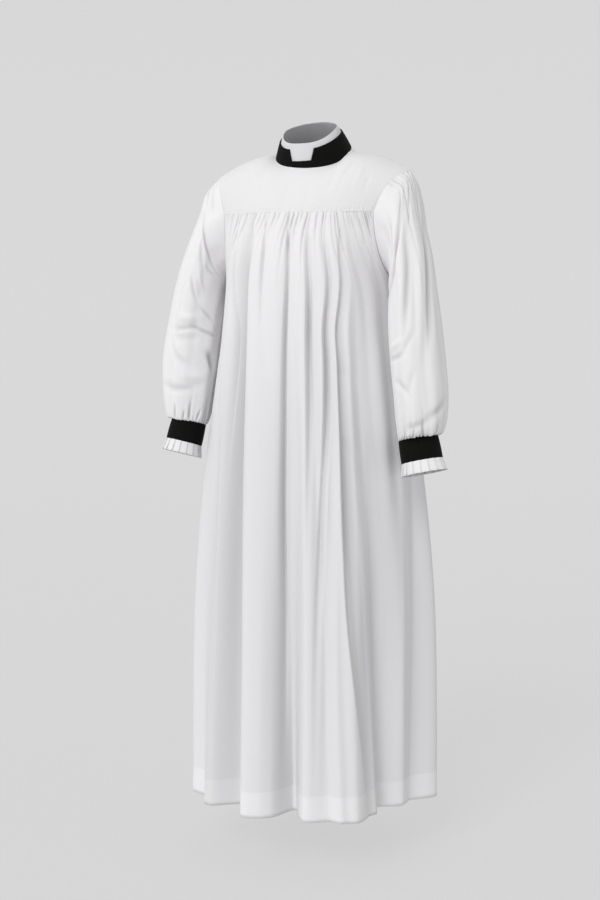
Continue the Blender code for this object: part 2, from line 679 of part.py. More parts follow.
def collar_band():
    """The collar: a stand open at the front, where a low strip of it bridges the opening."""
    angles = [2 * math.pi * j / NECK_FACETS - math.pi for j in range(NECK_FACETS)]
    angles += [-NOTCH_HALF_ANGLE - NOTCH_EDGE, NOTCH_HALF_ANGLE + NOTCH_EDGE]
    angles.sort()
    inner_radius = NECK_RADIUS - BAND_CLOTH
    rows, inner = [[], [], []], [[], [], []]
    for angle in angles:
        in_notch = abs(angle) < NOTCH_HALF_ANGLE + NOTCH_EDGE / 2
        top = COLLAR_STRIP if in_notch else rise_to_back(angle, COLLAR_FRONT, COLLAR_BACK)
        middle = COLLAR_STRIP - NOTCH_STEP
        for i, up in enumerate((top, middle, neckline(angle))):
            rows[i].append(neck_point(angle, up))
            inner[i].append(neck_point(angle, up, inner_radius))
    wall("collar_band", rows, inner, closed=True, finish=BLACK_COTTON)


def neck_band():
    """The white neckband inside the collar, standing a little above it."""
    angles = [2 * math.pi * j / NECK_FACETS - math.pi for j in range(NECK_FACETS)]
    outside = NECK_RADIUS - BAND_CLOTH - SEAM_GAP
    rows, inner = [], []
    for share in (1.0, 0.5, 0.0):
        ups = [
            NECKBAND_FOOT + (rise_to_back(a, NECKBAND_FRONT, NECKBAND_BACK) - NECKBAND_FOOT) * share
            for a in angles
        ]
        rows.append([neck_point(a, up, outside) for a, up in zip(angles, ups)])
        inner.append([neck_point(a, up, outside - NECKBAND_CLOTH) for a, up in zip(angles, ups)])
    wall("neck_band", rows, inner, closed=True, finish=WHITE_COTTON)


def clear_scene():
    """Remove whatever the scene holds."""
    for thing in list(bpy.data.objects):
        bpy.data.objects.remove(thing, do_unlink=True)


def main():
    """Make every piece of the rochet."""
    clear_scene()
    panels = FRONT.solid("front_panel"), BACK.solid("back_panel")
    yokes = yoke("front_yoke", FRONT), yoke("back_yoke", BACK)
    sleeve("sleeve_left", LEFT_RINGS, LEFT_BENDS, LEFT_WRIST, armhole(1, yokes, panels))
    sleeve("sleeve_right", RIGHT_RINGS, RIGHT_BENDS, RIGHT_WRIST, armhole(-1, yokes, panels))
    for hand, wrist in (("left", LEFT_WRIST), ("right", RIGHT_WRIST)):
        wristband(f"wristband_{hand}", wrist)
        frill(f"frill_{hand}", wrist)
    collar_band()
    neck_band()


if __name__ == "__main__":
    main()
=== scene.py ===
"""Dress the worn rochet: the cloth of its yokes, gathered panels, sleeves, wristbands, frills and
collar, its finishes, and a plain studio round it.

Units are metres, +Z is up and the front faces -Y. Each piece is a grid whose rows run down the
cloth and whose columns run across it, shaped by the sizes and short tables below.
"""

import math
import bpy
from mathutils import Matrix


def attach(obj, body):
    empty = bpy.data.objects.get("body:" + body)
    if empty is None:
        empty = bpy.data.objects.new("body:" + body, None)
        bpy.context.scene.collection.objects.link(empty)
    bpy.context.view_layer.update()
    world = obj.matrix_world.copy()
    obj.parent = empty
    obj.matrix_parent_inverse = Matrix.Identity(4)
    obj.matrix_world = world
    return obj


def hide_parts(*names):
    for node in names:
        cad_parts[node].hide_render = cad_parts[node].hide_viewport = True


bl_info = {
    "name": "Rochet dresser",
    "version": (1, 0, 0),
    "blender": (4, 5, 0),
    "location": "3D View > Sidebar > Rochet",
    "description": "Makes the cloth pieces of a worn rochet and the studio round it",
    "category": "Object",
}

from collections import namedtuple

import bmesh
import bpy
import numpy as np
from bpy.props import FloatProperty, FloatVectorProperty, IntProperty, PointerProperty
from mathutils import Matrix, Vector

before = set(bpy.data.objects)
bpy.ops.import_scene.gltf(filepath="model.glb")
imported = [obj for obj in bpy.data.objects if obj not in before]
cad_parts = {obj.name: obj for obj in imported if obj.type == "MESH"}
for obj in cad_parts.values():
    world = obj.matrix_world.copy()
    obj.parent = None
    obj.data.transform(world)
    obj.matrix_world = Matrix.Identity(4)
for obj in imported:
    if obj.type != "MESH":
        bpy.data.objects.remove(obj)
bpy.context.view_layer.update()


def rows_of(kind, *rows):
    """A table whose rows have named columns."""
    return [kind(*row) for row in rows]


# Levels and seams
YOKE_SEAM_Z = -0.125
HEM_Z = -1.320
UNDERARM_Z = -0.250
HEM_DEPTH = 0.053
ARMHOLE_TOP_X = 0.161
ARMHOLE_LOW_X = 0.174
ARMHOLE_FRONT_Y = -0.080
ARMHOLE_BACK_Y = 0.068
SHOULDER_TIP = (0.2085, 0.0, -0.0425)
SHOULDER_SEAM_RISE = 0.009

# How far the turned hem lies inside the cloth at its fold, and how much farther above that
HEM_GAP = 0.0003
HEM_GAP_GROWTH = 0.0011

# Neck, as a cone that leans forward
NECK_RADIUS = 0.0762
NECK_TILT = math.radians(21.5)
NECK_SLOPE_IN = 0.40
NECK_AXIS = np.array([0.0, -math.sin(NECK_TILT), math.cos(NECK_TILT)])
YOKE_NECK_SHARE = 9 / 14
YOKE_BULGE_FRONT = 0.30
YOKE_BULGE_BACK = 0.55
YOKE_BULGE_SHOULDER = 0.80

# How deep the edges of two pieces turn in where a seam joins them, and over what width
SEAM_DIP = 0.0004
SEAM_DIP_WIDTH = 0.0034

# How gathers lean as they run down from the seam: the distance over which they straighten, and
# their lean at places across the panel, in panel half widths for each metre
GATHER_LEAN = 0.045
GATHER_LEANS = ((-1.0, -0.2, 0.3, 0.5, 0.7, 1.0), (-1.6, -1.8, -1.0, 0.4, 2.6, 2.0))

FULL_TURN = 2 * math.pi

# How long a stitch is with the gap after it, how far stitches lie from an edge, and how far the
# yoke's topstitching lies above its seam
STITCH_LENGTH = 0.0024
STITCH_INSET = 0.002
TOPSTITCH = 0.0072

# Where the thread and the groove round it begin and end to fade, from the middle of the stitches
STITCH_THREAD = (0.00022, 0.00050)
STITCH_GROOVE = (0.0002, 0.0022)

# How deep a fold is where its cloth has its full painted shade, on a panel and on a sleeve
VALLEY_DEPTH = 0.024
SLEEVE_VALLEY_DEPTH = 0.0075

# How far the yoke's neck edge is tucked up inside the collar, and inwards
NECK_TUCK = 0.002
NECK_TUCK_IN = 0.0012

# The sleeve's radius when its creases are laid out flat
SLEEVE_RADIUS = 0.066

# How far a frill's top lies inside its wristband, how deep its pleats are there, and how far the
# stitches of its own hem lie from its foot
FRILL_TUCK = 0.0012
PLEAT_TOP = 0.0009
FRILL_STITCH = 0.0016

# The room between the yoke's neck and the collar, the depth of the collar's cross-section as a
# share of its height before it is scaled, and the neckband's cloth, its room inside the collar
# and the level of its foot
COLLAR_GAP = 0.0002
COLLAR_SECTION = 0.06
NECKBAND_CLOTH = 0.0018
NECKBAND_GAP = 0.0004
NECKBAND_FOOT = 0.002

# How many times the plain cloth is evened out
SETTLING_PASSES = 60

# The backdrop: the wall's distance behind the gown, the radius of the bend up to it, its whole
# length along the floor and up the wall, how far that starts in front of the gown, and its reach
# to each side. The lights stand at their own distance.
BACKDROP_WALL_Y = 7.0
BACKDROP_BEND = 3.0
BACKDROP_RUN = 19.0
BACKDROP_NEAR = 7.0
BACKDROP_HALF_WIDTH = 10.0
LIGHT_DISTANCE = 4

# Numbers of faces across and down the grids, round a wristband and evenly round the neck, and
# numbers of points up the inside of the hem and along each quarter of an armhole
FRONT_GRID = (470, 196)
BACK_GRID = (360, 180)
YOKE_GRID = (150, 60)
SLEEVE_GRID = (224, 168)
BAND_COLUMNS = 128
COLLAR_COLUMNS = 240
HEM_ROWS = 22
ARMHOLE_STEPS = 60

# A piece's grid of points, how far each is from the nearest row of stitches, and how deep each
# lies in a fold, from 0 to 1, which sets the shade painted into its colour
Shape = namedtuple("Shape", "points stitch valley", defaults=(None,))

Level = namedtuple("Level", "z half_width front front_turn back back_turn")
LEVELS = rows_of(
    Level,
    (-0.125, 0.161, 0.127, 64, 0.100, 60),
    (-0.165, 0.162, 0.139, 71, 0.108, 68),
    (-0.205, 0.166, 0.147, 79, 0.113, 77),
    (-0.250, 0.174, 0.153, 90, 0.117, 90),
    (-0.330, 0.179, 0.158, 90, 0.122, 90),
    (-0.450, 0.190, 0.164, 90, 0.133, 90),
    (-0.580, 0.203, 0.169, 90, 0.147, 90),
    (-0.700, 0.210, 0.174, 90, 0.158, 90),
    (-0.900, 0.214, 0.180, 90, 0.172, 90),
    (-1.100, 0.212, 0.185, 90, 0.182, 90),
    (-1.320, 0.208, 0.190, 90, 0.190, 90),
)

# The long folds, as the solids have them: where each crosses the panel at four levels below the
# neck, how far it stands out there, and its half widths. -1 and 1 are the panel's edges.
Fold = namedtuple(
    "Fold", "u_seam u_waist u_knee u_hem rise_seam rise_waist rise_knee rise_hem left right"
)
FOLD_LEVELS = (0.200, 0.520, 0.920, 1.320)
FOLDS_START_Z = -0.135
FOLD_EDGE_FADE = 0.08
FRONT_FOLDS = rows_of(
    Fold,
    (-0.62, -0.72, -0.72, -0.72, 0.002, 0.016, 0.040, 0.052, 0.27, 0.22),
    (-0.52, -0.50, -0.47, -0.45, 0.002, 0.012, 0.032, 0.052, 0.20, 0.10),
    (-0.40, -0.36, -0.33, -0.32, -0.002, -0.010, -0.014, -0.020, 0.10, 0.07),
    (-0.28, -0.20, -0.17, -0.17, 0.004, 0.012, 0.020, 0.028, 0.10, 0.20),
    (-0.16, -0.10, -0.08, -0.06, -0.003, 0.000, 0.000, 0.000, 0.05, 0.06),
    (0.05, 0.07, 0.07, 0.07, -0.004, -0.014, -0.036, -0.062, 0.10, 0.12),
    (0.14, 0.17, 0.20, 0.22, 0.003, 0.006, 0.008, 0.006, 0.07, 0.12),
    (0.22, 0.23, 0.26, 0.28, -0.003, -0.006, -0.003, 0.000, 0.05, 0.06),
    (0.31, 0.30, 0.36, 0.42, 0.003, 0.008, 0.012, 0.018, 0.08, 0.20),
    (0.37, 0.34, 0.32, 0.32, -0.004, -0.007, -0.006, 0.000, 0.05, 0.06),
    (0.45, 0.42, 0.46, 0.52, 0.003, 0.008, 0.012, 0.012, 0.08, 0.14),
    (0.56, 0.56, 0.68, 0.80, -0.003, -0.010, -0.020, -0.030, 0.12, 0.18),
    (0.72, 0.74, 0.86, 0.92, 0.002, 0.005, 0.004, 0.000, 0.10, 0.10),
)
BACK_FOLDS = rows_of(
    Fold,
    (-0.84, -0.84, -0.82, -0.80, 0.001, 0.016, 0.042, 0.054, 0.15, 0.20),
    (-0.64, -0.60, -0.60, -0.60, -0.003, -0.012, -0.016, -0.022, 0.09, 0.10),
    (-0.46, -0.42, -0.40, -0.40, 0.003, 0.010, 0.022, 0.034, 0.12, 0.16),
    (-0.28, -0.20, -0.17, -0.16, -0.004, -0.011, -0.022, -0.034, 0.09, 0.11),
    (-0.04, 0.02, 0.05, 0.06, 0.004, 0.010, 0.022, 0.036, 0.13, 0.15),
    (0.20, 0.24, 0.26, 0.28, -0.004, -0.011, -0.024, -0.036, 0.10, 0.10),
    (0.44, 0.46, 0.47, 0.48, 0.003, 0.010, 0.022, 0.034, 0.12, 0.14),
    (0.64, 0.66, 0.67, 0.68, -0.003, -0.012, -0.018, -0.026, 0.09, 0.09),
    (0.82, 0.83, 0.83, 0.84, 0.001, 0.010, 0.030, 0.044, 0.12, 0.13),
)

# A long crease: its line across the panel and its depth at eight levels below the neck, and how
# wide its two slopes are. Depths are in millimetres, the rest in thousandths of the half width.
Crease = namedtuple("Crease", "line depth left right")
CREASE_LEVELS = (0.140, 0.220, 0.340, 0.415, 0.490, 0.700, 0.950, 1.320)
FRONT_CREASES = rows_of(
    Crease,
    ((-620, -530, -450, -439, -440, -440, -440, -440), (2, 7, 9, 7, 4, 0, 0, 0), 70, 14),
    ((-220, -185, -150, -132, -120, -120, -120, -120), (4, 7, 1, 0, 0, 0, 0, 0), 14, 30),
    ((-800, -760, -720, -660, -600, -500, -460, -440), (1, 2, 2, 3, 3, 3, 3, 4), 90, 30),
    ((-940, -920, -900, -881, -860, -800, -760, -720), (0, 0, 0, 1, 2, 5, 5, 5), 60, 90),
)

# Hollows with soft edges, set out like the creases. One with a negative depth is a swell.
FRONT_HOLLOWS = rows_of(
    Crease,
    ((-410, -350, -325, -317, -312, -297, -280, -250), (3, 12, 21, 24, 25, 26, 25, 20), 140, 64),
    ((20, 34, 24, 21, 19, 12, 16, 12), (5, 8, 13, 13, 13, 14, 8, 0), 19, 26),
    ((20, 30, 25, 23, 20, 10, 0, 0), (0, 0, 0, 0, 1, 5, 10, 8), 85, 80),
    ((250, 210, 200, 201, 202, 195, 190, 190), (1, 5, 14, 12, 10, 3, 0, 0), 24, 34),
    ((400, 370, 318, 319, 313, 277, 250, 250), (1, 5, 14, 15, 14, 9, 3, 0), 26, 38),
    ((570, 480, 404, 406, 404, 410, 450, 620), (1, 6, 13, 15, 15, 14, 9, 1), 20, 90),
    ((600, 500, 440, 436, 440, 440, 500, 620), (0, 0, 0, 0, 1, 9, 7, 0), 70, 160),
    ((520, 520, 500, 493, 490, 500, 600, 660), (0, 0, -1, -2, -2, -1, 0, 0), 80, 220),
    ((660, 640, 660, 661, 660, 660, 600, 660), (3, 6, 4, 2, 1, 0, 2, 2), 100, 180),
    ((860, 820, 800, 800, 800, 770, 760, 760), (3, 5, 4, 2, 3, 9, 7, 4), 270, 140),
    ((840, 840, 840, 840, 840, 840, 840, 860), (0, 0, 0, 0, 0, 1, 3, 2), 120, 70),
    ((-360, -360, -380, -392, -400, -400, -400, -400), (0, 2, 6, 8, 10, 11, 10, 8), 320, 80),
    ((600, 600, 600, 600, 600, 600, 620, 660), (0, 0, 0, 0, 0, 0, 4, 4), 500, 200),
    ((-860, -860, -860, -860, -860, -860, -860, -860), (0, -3, -5, -5, -4, -1, 0, 0), 120, 120),
)
BACK_CREASES = rows_of(
    Crease,
    ((-800, -740, -700, -692, -690, -690, -690, -690), (2, 6, 8, 9, 9, 6, 4, 3), 135, 30),
    ((-560, -510, -490, -489, -490, -490, -490, -490), (2, 6, 10, 11, 12, 13, 14, 14), 22, 135),
    ((-360, -330, -310, -304, -300, -290, -280, -280), (3, 7, 7, 6, 5, 3, 0, 0), 24, 90),
    ((-200, -150, -110, -97, -90, -90, -80, -70), (2, 6, 10, 11, 11, 12, 14, 14), 120, 22),
    ((30, 50, 60, 61, 60, 60, 60, 60), (3, 5, 3, 2, 1, 0, 0, 0), 28, 40),
    ((160, 170, 190, 197, 200, 200, 200, 210), (2, 7, 10, 11, 11, 12, 13, 13), 22, 135),
    ((360, 360, 370, 371, 370, 370, 380, 380), (3, 5, 7, 8, 8, 9, 10, 11), 120, 22),
    ((600, 590, 580, 579, 580, 580, 580, 580), (2, 6, 9, 10, 11, 12, 13, 13), 22, 120),
    ((860, 780, 740, 732, 730, 740, 740, 740), (2, 5, 7, 8, 9, 11, 12, 12), 105, 22),
)

BACK_HOLLOWS = rows_of(
    Crease,
    ((-500, -460, -440, -433, -430, -430, -430, -430), (0, 2, 4, 5, 6, 6, 6, 6), 120, 120),
    ((520, 500, 480, 479, 480, 480, 480, 480), (0, 2, 4, 5, 5, 5, 5, 5), 120, 120),
)

# A short soft crease or ridge on a piece, in millimetres: its two ends across and down the piece,
# its rise, negative for a crease, its half width, and its bow sideways.
Wrinkle = namedtuple("Wrinkle", "across0 down0 across1 down1 rise width bow")
FRONT_WRINKLES = rows_of(
    Wrinkle,
    (-120, 490, -60, 488, 0.35, 2.5, 0),
    (-105, 985, -70, 984, 0.4, 2.5, 0),
    (-60, 1062, -12, 1060, 0.35, 2.5, 0),
    (55, 1044, 120, 1036, 0.6, 4, 2),
    (60, 1056, 118, 1049, -0.4, 4, 2),
    (108, 300, 165, 345, -1.6, 12, 6),
    (110, 420, 160, 500, -1.2, 14, 6),
    (168, 30, 206, 112, -3, 6, 4),
    (196, 46, 226, 112, -3, 5, 3),
    (184, 40, 216, 106, 2, 6, 4),
    (150, 26, 186, 120, 1.6, 9, 4),
    (-150, 110, -165, 220, -1.2, 9, 4),
    (130, 640, 150, 760, 1.2, 12, 0),
)
BACK_WRINKLES = rows_of(
    Wrinkle,
    (-120, 520, -55, 517, 0.35, 2.5, 0),
    (30, 830, 90, 826, 0.4, 2.5, 0),
    (-40, 1060, 20, 1058, 0.35, 2.5, 0),
    (-150, 120, -165, 230, -1.2, 9, 4),
    (150, 120, 165, 230, -1.2, 9, 4),
)
FRONT_YOKE_WRINKLES = rows_of(
    Wrinkle,
    (-20, 20, -6, 100, -1.1, 9, 4),
    (135, 40, 96, 125, -1.8, 9, 6),
    (150, 50, 126, 128, 1.2, 7, 4),
    (105, 30, 60, 110, -1.2, 12, 6),
    (-135, 40, -100, 120, -1.2, 10, -6),
    (-80, 30, -60, 112, -1, 11, 0),
    (165, 70, 148, 122, -1.4, 5, 0),
    (30, 30, 36, 110, -0.7, 10, 3),
)
BACK_YOKE_WRINKLES = rows_of(
    Wrinkle,
    (80, 40, 50, 120, -0.6, 9, 4),
    (-80, 40, -50, 120, -0.6, 9, -4),
    (-145, 60, -120, 125, -0.8, 8, 4),
    (145, 60, 120, 125, -0.8, 8, -4),
)

# The neck seam's dip: degrees round from the front, and how far down the neck's slope it lies
Dip = namedtuple("Dip", "angle down")
NECKLINE = rows_of(
    Dip,
    (-120, 0.0000),
    (-90, 0.0012),
    (-60, 0.0043),
    (-30, 0.0073),
    (0, 0.0087),
    (30, 0.0120),
    (60, 0.0120),
    (90, 0.0034),
    (120, 0.0000),
)

# Rings of a sleeve from armhole to wrist: its outer and inner edge, its middle and half depth
Ring = namedtuple("Ring", "top_x top_z under_x under_z y depth")
LEFT_RINGS = rows_of(
    Ring,
    (0.214, -0.058, 0.1785, -0.2555, -0.003, 0.081),
    (0.228, -0.100, 0.184, -0.268, -0.012, 0.081),
    (0.243, -0.150, 0.187, -0.284, -0.028, 0.077),
    (0.262, -0.205, 0.189, -0.304, -0.042, 0.072),
    (0.277, -0.265, 0.191, -0.328, -0.055, 0.067),
    (0.292, -0.335, 0.194, -0.366, -0.064, 0.062),
    (0.303, -0.410, 0.200, -0.420, -0.068, 0.060),
    (0.309, -0.470, 0.206, -0.474, -0.069, 0.058),
    (0.307, -0.520, 0.210, -0.523, -0.067, 0.056),
    (0.300, -0.546, 0.213, -0.553, -0.065, 0.050),
)
RIGHT_RINGS = rows_of(
    Ring,
    (0.217, -0.058, 0.1785, -0.2555, -0.003, 0.083),
    (0.229, -0.100, 0.184, -0.268, -0.009, 0.083),
    (0.248, -0.150, 0.187, -0.284, -0.016, 0.081),
    (0.268, -0.205, 0.189, -0.304, -0.024, 0.077),
    (0.285, -0.265, 0.191, -0.328, -0.031, 0.073),
    (0.299, -0.335, 0.194, -0.366, -0.038, 0.069),
    (0.311, -0.405, 0.198, -0.418, -0.045, 0.066),
    (0.311, -0.460, 0.203, -0.468, -0.051, 0.063),
    (0.306, -0.506, 0.209, -0.511, -0.056, 0.058),
    (0.299, -0.535, 0.214, -0.539, -0.060, 0.052),
)

# Broad folds that run down a sleeve: degrees round it at both ends, twice their rise at the head,
# the elbow and the wrist, and their half width
Bend = namedtuple("Bend", "angle_head angle_wrist rise_head rise_elbow rise_wrist width")
LEFT_BENDS = rows_of(
    Bend,
    (20, 40, 0.003, 0.004, 0.002, 22),
    (48, 62, -0.003, -0.005, -0.003, 18),
    (75, 92, 0.003, 0.005, 0.003, 22),
    (105, 120, -0.002, -0.005, -0.003, 20),
    (150, 160, 0.000, 0.003, 0.002, 26),
    (215, 205, 0.000, -0.004, -0.003, 22),
    (260, 250, 0.002, 0.004, 0.002, 24),
    (300, 290, -0.003, -0.005, -0.003, 22),
)
RIGHT_BENDS = rows_of(
    Bend,
    (12, 15, -0.003, -0.004, -0.002, 20),
    (40, 38, 0.003, 0.005, 0.003, 22),
    (66, 66, -0.003, -0.006, -0.003, 18),
    (94, 96, 0.003, 0.005, 0.003, 22),
    (124, 132, -0.002, -0.004, -0.002, 20),
    (220, 215, 0.000, -0.003, -0.003, 22),
    (262, 258, 0.002, 0.005, 0.002, 24),
    (305, 300, -0.003, -0.005, -0.003, 20),
)

# On a sleeve the ends are degrees round it, from the outside by way of the front, and thousandths
# of its length.
LEFT_SLEEVE_CREASES = rows_of(
    Wrinkle,
    (40, 45, 62, 120, -3, 3, 0),
    (28, 40, 44, 110, -2.2, 3, 0),
    (16, 40, 42, 210, -2.6, 5, 2),
    (-2, 60, 4, 260, -2.6, 5, 2),
    (50, 100, 146, 280, -9, 17, -6),
    (74, 30, 116, 150, -4.4, 6, 2),
    (92, 30, 132, 130, -4, 6, 2),
    (84, 40, 126, 150, 2.6, 7, 2),
    (40, 140, 100, 600, -6, 18, 3),
    (26, 200, 66, 700, 4, 14, 4),
    (-14, 150, 48, 660, -7, 16, 4),
    (156, 640, 88, 600, -4.2, 10, 4),
    (108, 612, 66, 520, -3.2, 13, 4),
    (146, 585, 96, 550, 3, 11, 2),
    (146, 720, 84, 800, -3, 13, -4),
    (98, 800, 72, 670, -2.6, 14, -3),
    (116, 930, 40, 890, -3.6, 13, 4),
    (64, 900, -4, 800, -4.2, 16, 4),
    (60, 995, 66, 900, -4.6, 4, 0),
    (88, 995, 84, 920, -4.6, 4, 0),
    (112, 995, 118, 900, -4.6, 4, 0),
    (136, 995, 150, 910, -4.6, 4, 0),
    (30, 995, 22, 900, -4.6, 4, 0),
    (150, 400, 156, 560, -4, 10, 2),
    (190, 440, 240, 560, -4, 12, 4),
    (250, 300, 300, 520, -3.6, 12, -4),
    (270, 620, 220, 800, -3.6, 11, 4),
    (322, 60, 316, 420, -3.2, 8, 2),
    (332, 600, 320, 880, -3, 10, 2),
)
RIGHT_SLEEVE_CREASES = rows_of(
    Wrinkle,
    (14, 52, 72, 58, -4, 4, 0),
    (28, 26, 78, 34, -3.4, 3, 0),
    (52, 74, 150, 100, -5, 9, -2),
    (78, 100, 120, 210, -3.4, 12, -2),
    (10, 50, 20, 240, -2.6, 6, 2),
    (112, 165, 146, 135, -3.4, 8, 2),
    (88, 270, 120, 385, -4, 9, -2),
    (118, 375, 164, 475, -4.2, 8, 2),
    (98, 200, 128, 300, 2.6, 10, -2),
    (50, 556, 134, 496, -4, 9, -4),
    (52, 585, 150, 545, -2.6, 18, -4),
    (100, 505, 182, 560, -4.8, 8, 3),
    (60, 500, 136, 440, 3, 15, -4),
    (56, 590, 134, 716, -3.4, 13, -8),
    (146, 610, 178, 740, -7, 15, 0),
    (30, 800, 150, 800, -4, 15, -8),
    (90, 735, 160, 760, 3, 16, -4),
    (80, 990, 90, 880, -5, 5, 0),
    (104, 990, 112, 910, -4.6, 4, 0),
    (122, 990, 126, 870, -5, 5, 0),
    (142, 990, 152, 910, -4.6, 4, 0),
    (160, 990, 172, 890, -5, 5, 0),
    (52, 990, 46, 900, -4.6, 4, 0),
    (196, 460, 250, 580, -4, 12, 4),
    (252, 280, 300, 520, -3.6, 12, -4),
    (280, 640, 226, 800, -3.6, 11, 4),
    (322, 60, 318, 420, -3.2, 8, 2),
    (336, 600, 326, 880, -3, 10, 2),
)

# A wristband: its side, the middle of its top, its lean, and its two half widths
Wrist = namedtuple("Wrist", "side top lean_x lean_y across deep")
LEFT_WRIST = Wrist(1, (0.2505, -0.063, -0.5600), 0.24, -0.12, 0.0395, 0.0345)
RIGHT_WRIST = Wrist(-1, (-0.2545, -0.063, -0.5455), -0.16, -0.24, 0.0345, 0.0405)


def a_colour(name, description, default):
    """A colour that a user can change."""
    return FloatVectorProperty(
        name=name, description=description, subtype="COLOR", size=3, min=0, max=1, default=default
    )


def a_length(name, description, default):
    """A length that a user can change."""
    return FloatProperty(name=name, description=description, unit="LENGTH", default=default)


def an_angle(name, description, degrees):
    """An angle that a user can change."""
    return FloatProperty(
        name=name, description=description, subtype="ANGLE", unit="ROTATION",
        default=math.radians(degrees),
    )


def a_number(name, description, default):
    """A plain number that a user can change."""
    return FloatProperty(name=name, description=description, default=default)


def a_count(name, description, default):
    """A whole number that a user can change."""
    return IntProperty(name=name, description=description, default=default)


class ROCHET_PG_cloth(bpy.types.PropertyGroup):
    """Colours of the cloth."""

    white: a_colour("White", "Colour of the sleeves and the tops of the panels", (0.785, 0.775, 0.785))
    # The yokes' white is set darker than the sleeves': painted shade that offsets the stronger light
    # on their tops.
    yoke: a_colour("Yoke", "Colour of the yokes", (0.740, 0.730, 0.740))
    skirt: a_colour("Skirt", "Colour of the single cloth low on the panels", (0.710, 0.710, 0.727))
    hem: a_colour("Hem", "Colour of the doubled hem", (0.762, 0.762, 0.774))
    # The neckband's white is greyed: painted shade standing in for the shadow of the wearer's chin.
    neckband: a_colour("Neckband", "Colour of the neckband", (0.66, 0.65, 0.67))
    black: a_colour("Black", "Colour of the collar and wristbands", (0.0034, 0.0034, 0.0031))
    roughness: FloatProperty(
        name="Roughness", description="Roughness of the cotton", subtype="FACTOR",
        min=0, max=1, default=0.86,
    )


class ROCHET_PG_gathers(bpy.types.PropertyGroup):
    """Gathers below the yokes."""

    front: a_count("Front gathers", "Gathers on the front panel", 44)
    back: a_count("Back gathers", "Gathers on the back panel", 30)
    rise: a_length("Rise", "How far a gather stands out", 0.0050)
    length: a_length("Length", "How far down a gather fades", 0.050)
    ripple: a_length("Ripple", "Height of the soft ripples under the gathers", 0.0012)


class ROCHET_PG_sleeves(bpy.types.PropertyGroup):
    """Gathers of the sleeves."""

    head: a_count("Head gathers", "Gathers over the shoulder", 17)
    wrist: a_count("Wrist gathers", "Gathers round the wrist", 36)
    head_rise: a_length("Head depth", "Depth of the gathers at the armhole", 0.0030)
    wrist_rise: a_length("Wrist depth", "Depth of the gathers at the band", 0.0036)
    clearance: a_length("Clearance", "Least room between a sleeve and the body", 0.0030)


class ROCHET_PG_bands(bpy.types.PropertyGroup):
    """Wristbands and frills."""

    height: a_length("Height", "Height of a wristband", 0.0455)
    cloth: a_length("Band cloth", "Thickness of a band", 0.0026)
    flare: a_length("Flare", "How much wider a band is at the hand", 0.0018)
    frill_length: a_length("Frill length", "Depth of a frill", 0.0240)
    frill_flare: a_length("Frill flare", "How far a frill opens out", 0.0045)
    pleats: a_count("Pleats", "Knife pleats round a frill", 17)
    pleat_depth: a_length("Pleat depth", "Depth of a knife pleat at its foot", 0.0040)


class ROCHET_PG_collar(bpy.types.PropertyGroup):
    """Collar and neckband."""

    strip: a_length("Strip", "Height of the strip across the notch", 0.0040)
    front: a_length("Front", "Height of the collar beside the notch", 0.0250)
    back: a_length("Back", "Height of the collar at the back", 0.0340)
    notch: an_angle("Notch", "Half angle of the notch", 20.5)
    notch_turn: an_angle("Notch turn", "How far the notch sits to the wearer's left", 2.6)
    band_front: a_length("Neckband front", "Height of the neckband in front", 0.0350)
    band_back: a_length("Neckband back", "Height of the neckband behind", 0.0460)


class ROCHET_PG_stage(bpy.types.PropertyGroup):
    """Camera, floor and lights."""

    azimuth: an_angle("Azimuth", "How far the camera stands to the wearer's left", 24.0)
    distance: a_length("Distance", "Camera's distance from the gown's axis", 3.0)
    height: a_length("Height", "Camera's level, from the neck", -0.265)
    down: an_angle("Down", "How far the camera looks down", 6.4)
    aim_left: an_angle("Aim left", "How far the camera aims left of the axis", 0.526)
    lens: a_number("Lens", "Focal length in millimetres", 58.84)
    floor_z: a_length("Floor", "Level of the floor, from the neck", -1.44)
    key: a_number("Key", "Strength of the key light", 1.66)
    side: a_number("Side", "Strength of the light at the left", 0.55)
    fill: a_number("Fill", "Strength of the light at the right", 0.27)
    room: a_number("Room", "Strength of the light all round", 0.50)
    backdrop: a_colour("Backdrop", "Colour of the floor and backdrop", (0.12, 0.12, 0.12))
    glow: a_number("Glow", "Light that the backdrop gives off", 0.56)


SETTINGS = {
    "rochet_cloth": ROCHET_PG_cloth,
    "rochet_gathers": ROCHET_PG_gathers,
    "rochet_sleeves": ROCHET_PG_sleeves,
    "rochet_bands": ROCHET_PG_bands,
    "rochet_collar": ROCHET_PG_collar,
    "rochet_stage": ROCHET_PG_stage,
}


def curve(keys, data, value):
    """Values on a smooth curve through data at rising keys."""
    keys = np.asarray(keys, float)
    data = np.asarray(data, float)
    last = len(keys) - 1
    low = np.maximum(np.arange(last + 1) - 1, 0)
    high = np.minimum(np.arange(last + 1) + 1, last)
    spread = (keys[high] - keys[low]).reshape((-1,) + (1,) * (data.ndim - 1))
    slopes = (data[high] - data[low]) / spread
    value = np.clip(np.asarray(value, float), keys[0], keys[-1])
    i = np.clip(np.searchsorted(keys, value, side="right") - 1, 0, last - 1)
    width = keys[i + 1] - keys[i]
    t = (value - keys[i]) / width
    shape = t.shape + (1,) * (data.ndim - 1)
    t = t.reshape(shape)
    width = width.reshape(shape)
    return (
        data[i] * (2 * t**3 - 3 * t**2 + 1)
        + data[i + 1] * (3 * t**2 - 2 * t**3)
        + slopes[i] * width * (t**3 - 2 * t**2 + t)
        + slopes[i + 1] * width * (t**3 - t**2)
    )


def level(column, z):
    """A column of the table of body levels at any heights."""
    rows = LEVELS[::-1]
    return curve([row.z for row in rows], [getattr(row, column) for row in rows], z)


def smooth(t):
    """An even rise from 0 to 1."""
    t = np.clip(t, 0.0, 1.0)
    return t * t * (3 - 2 * t)


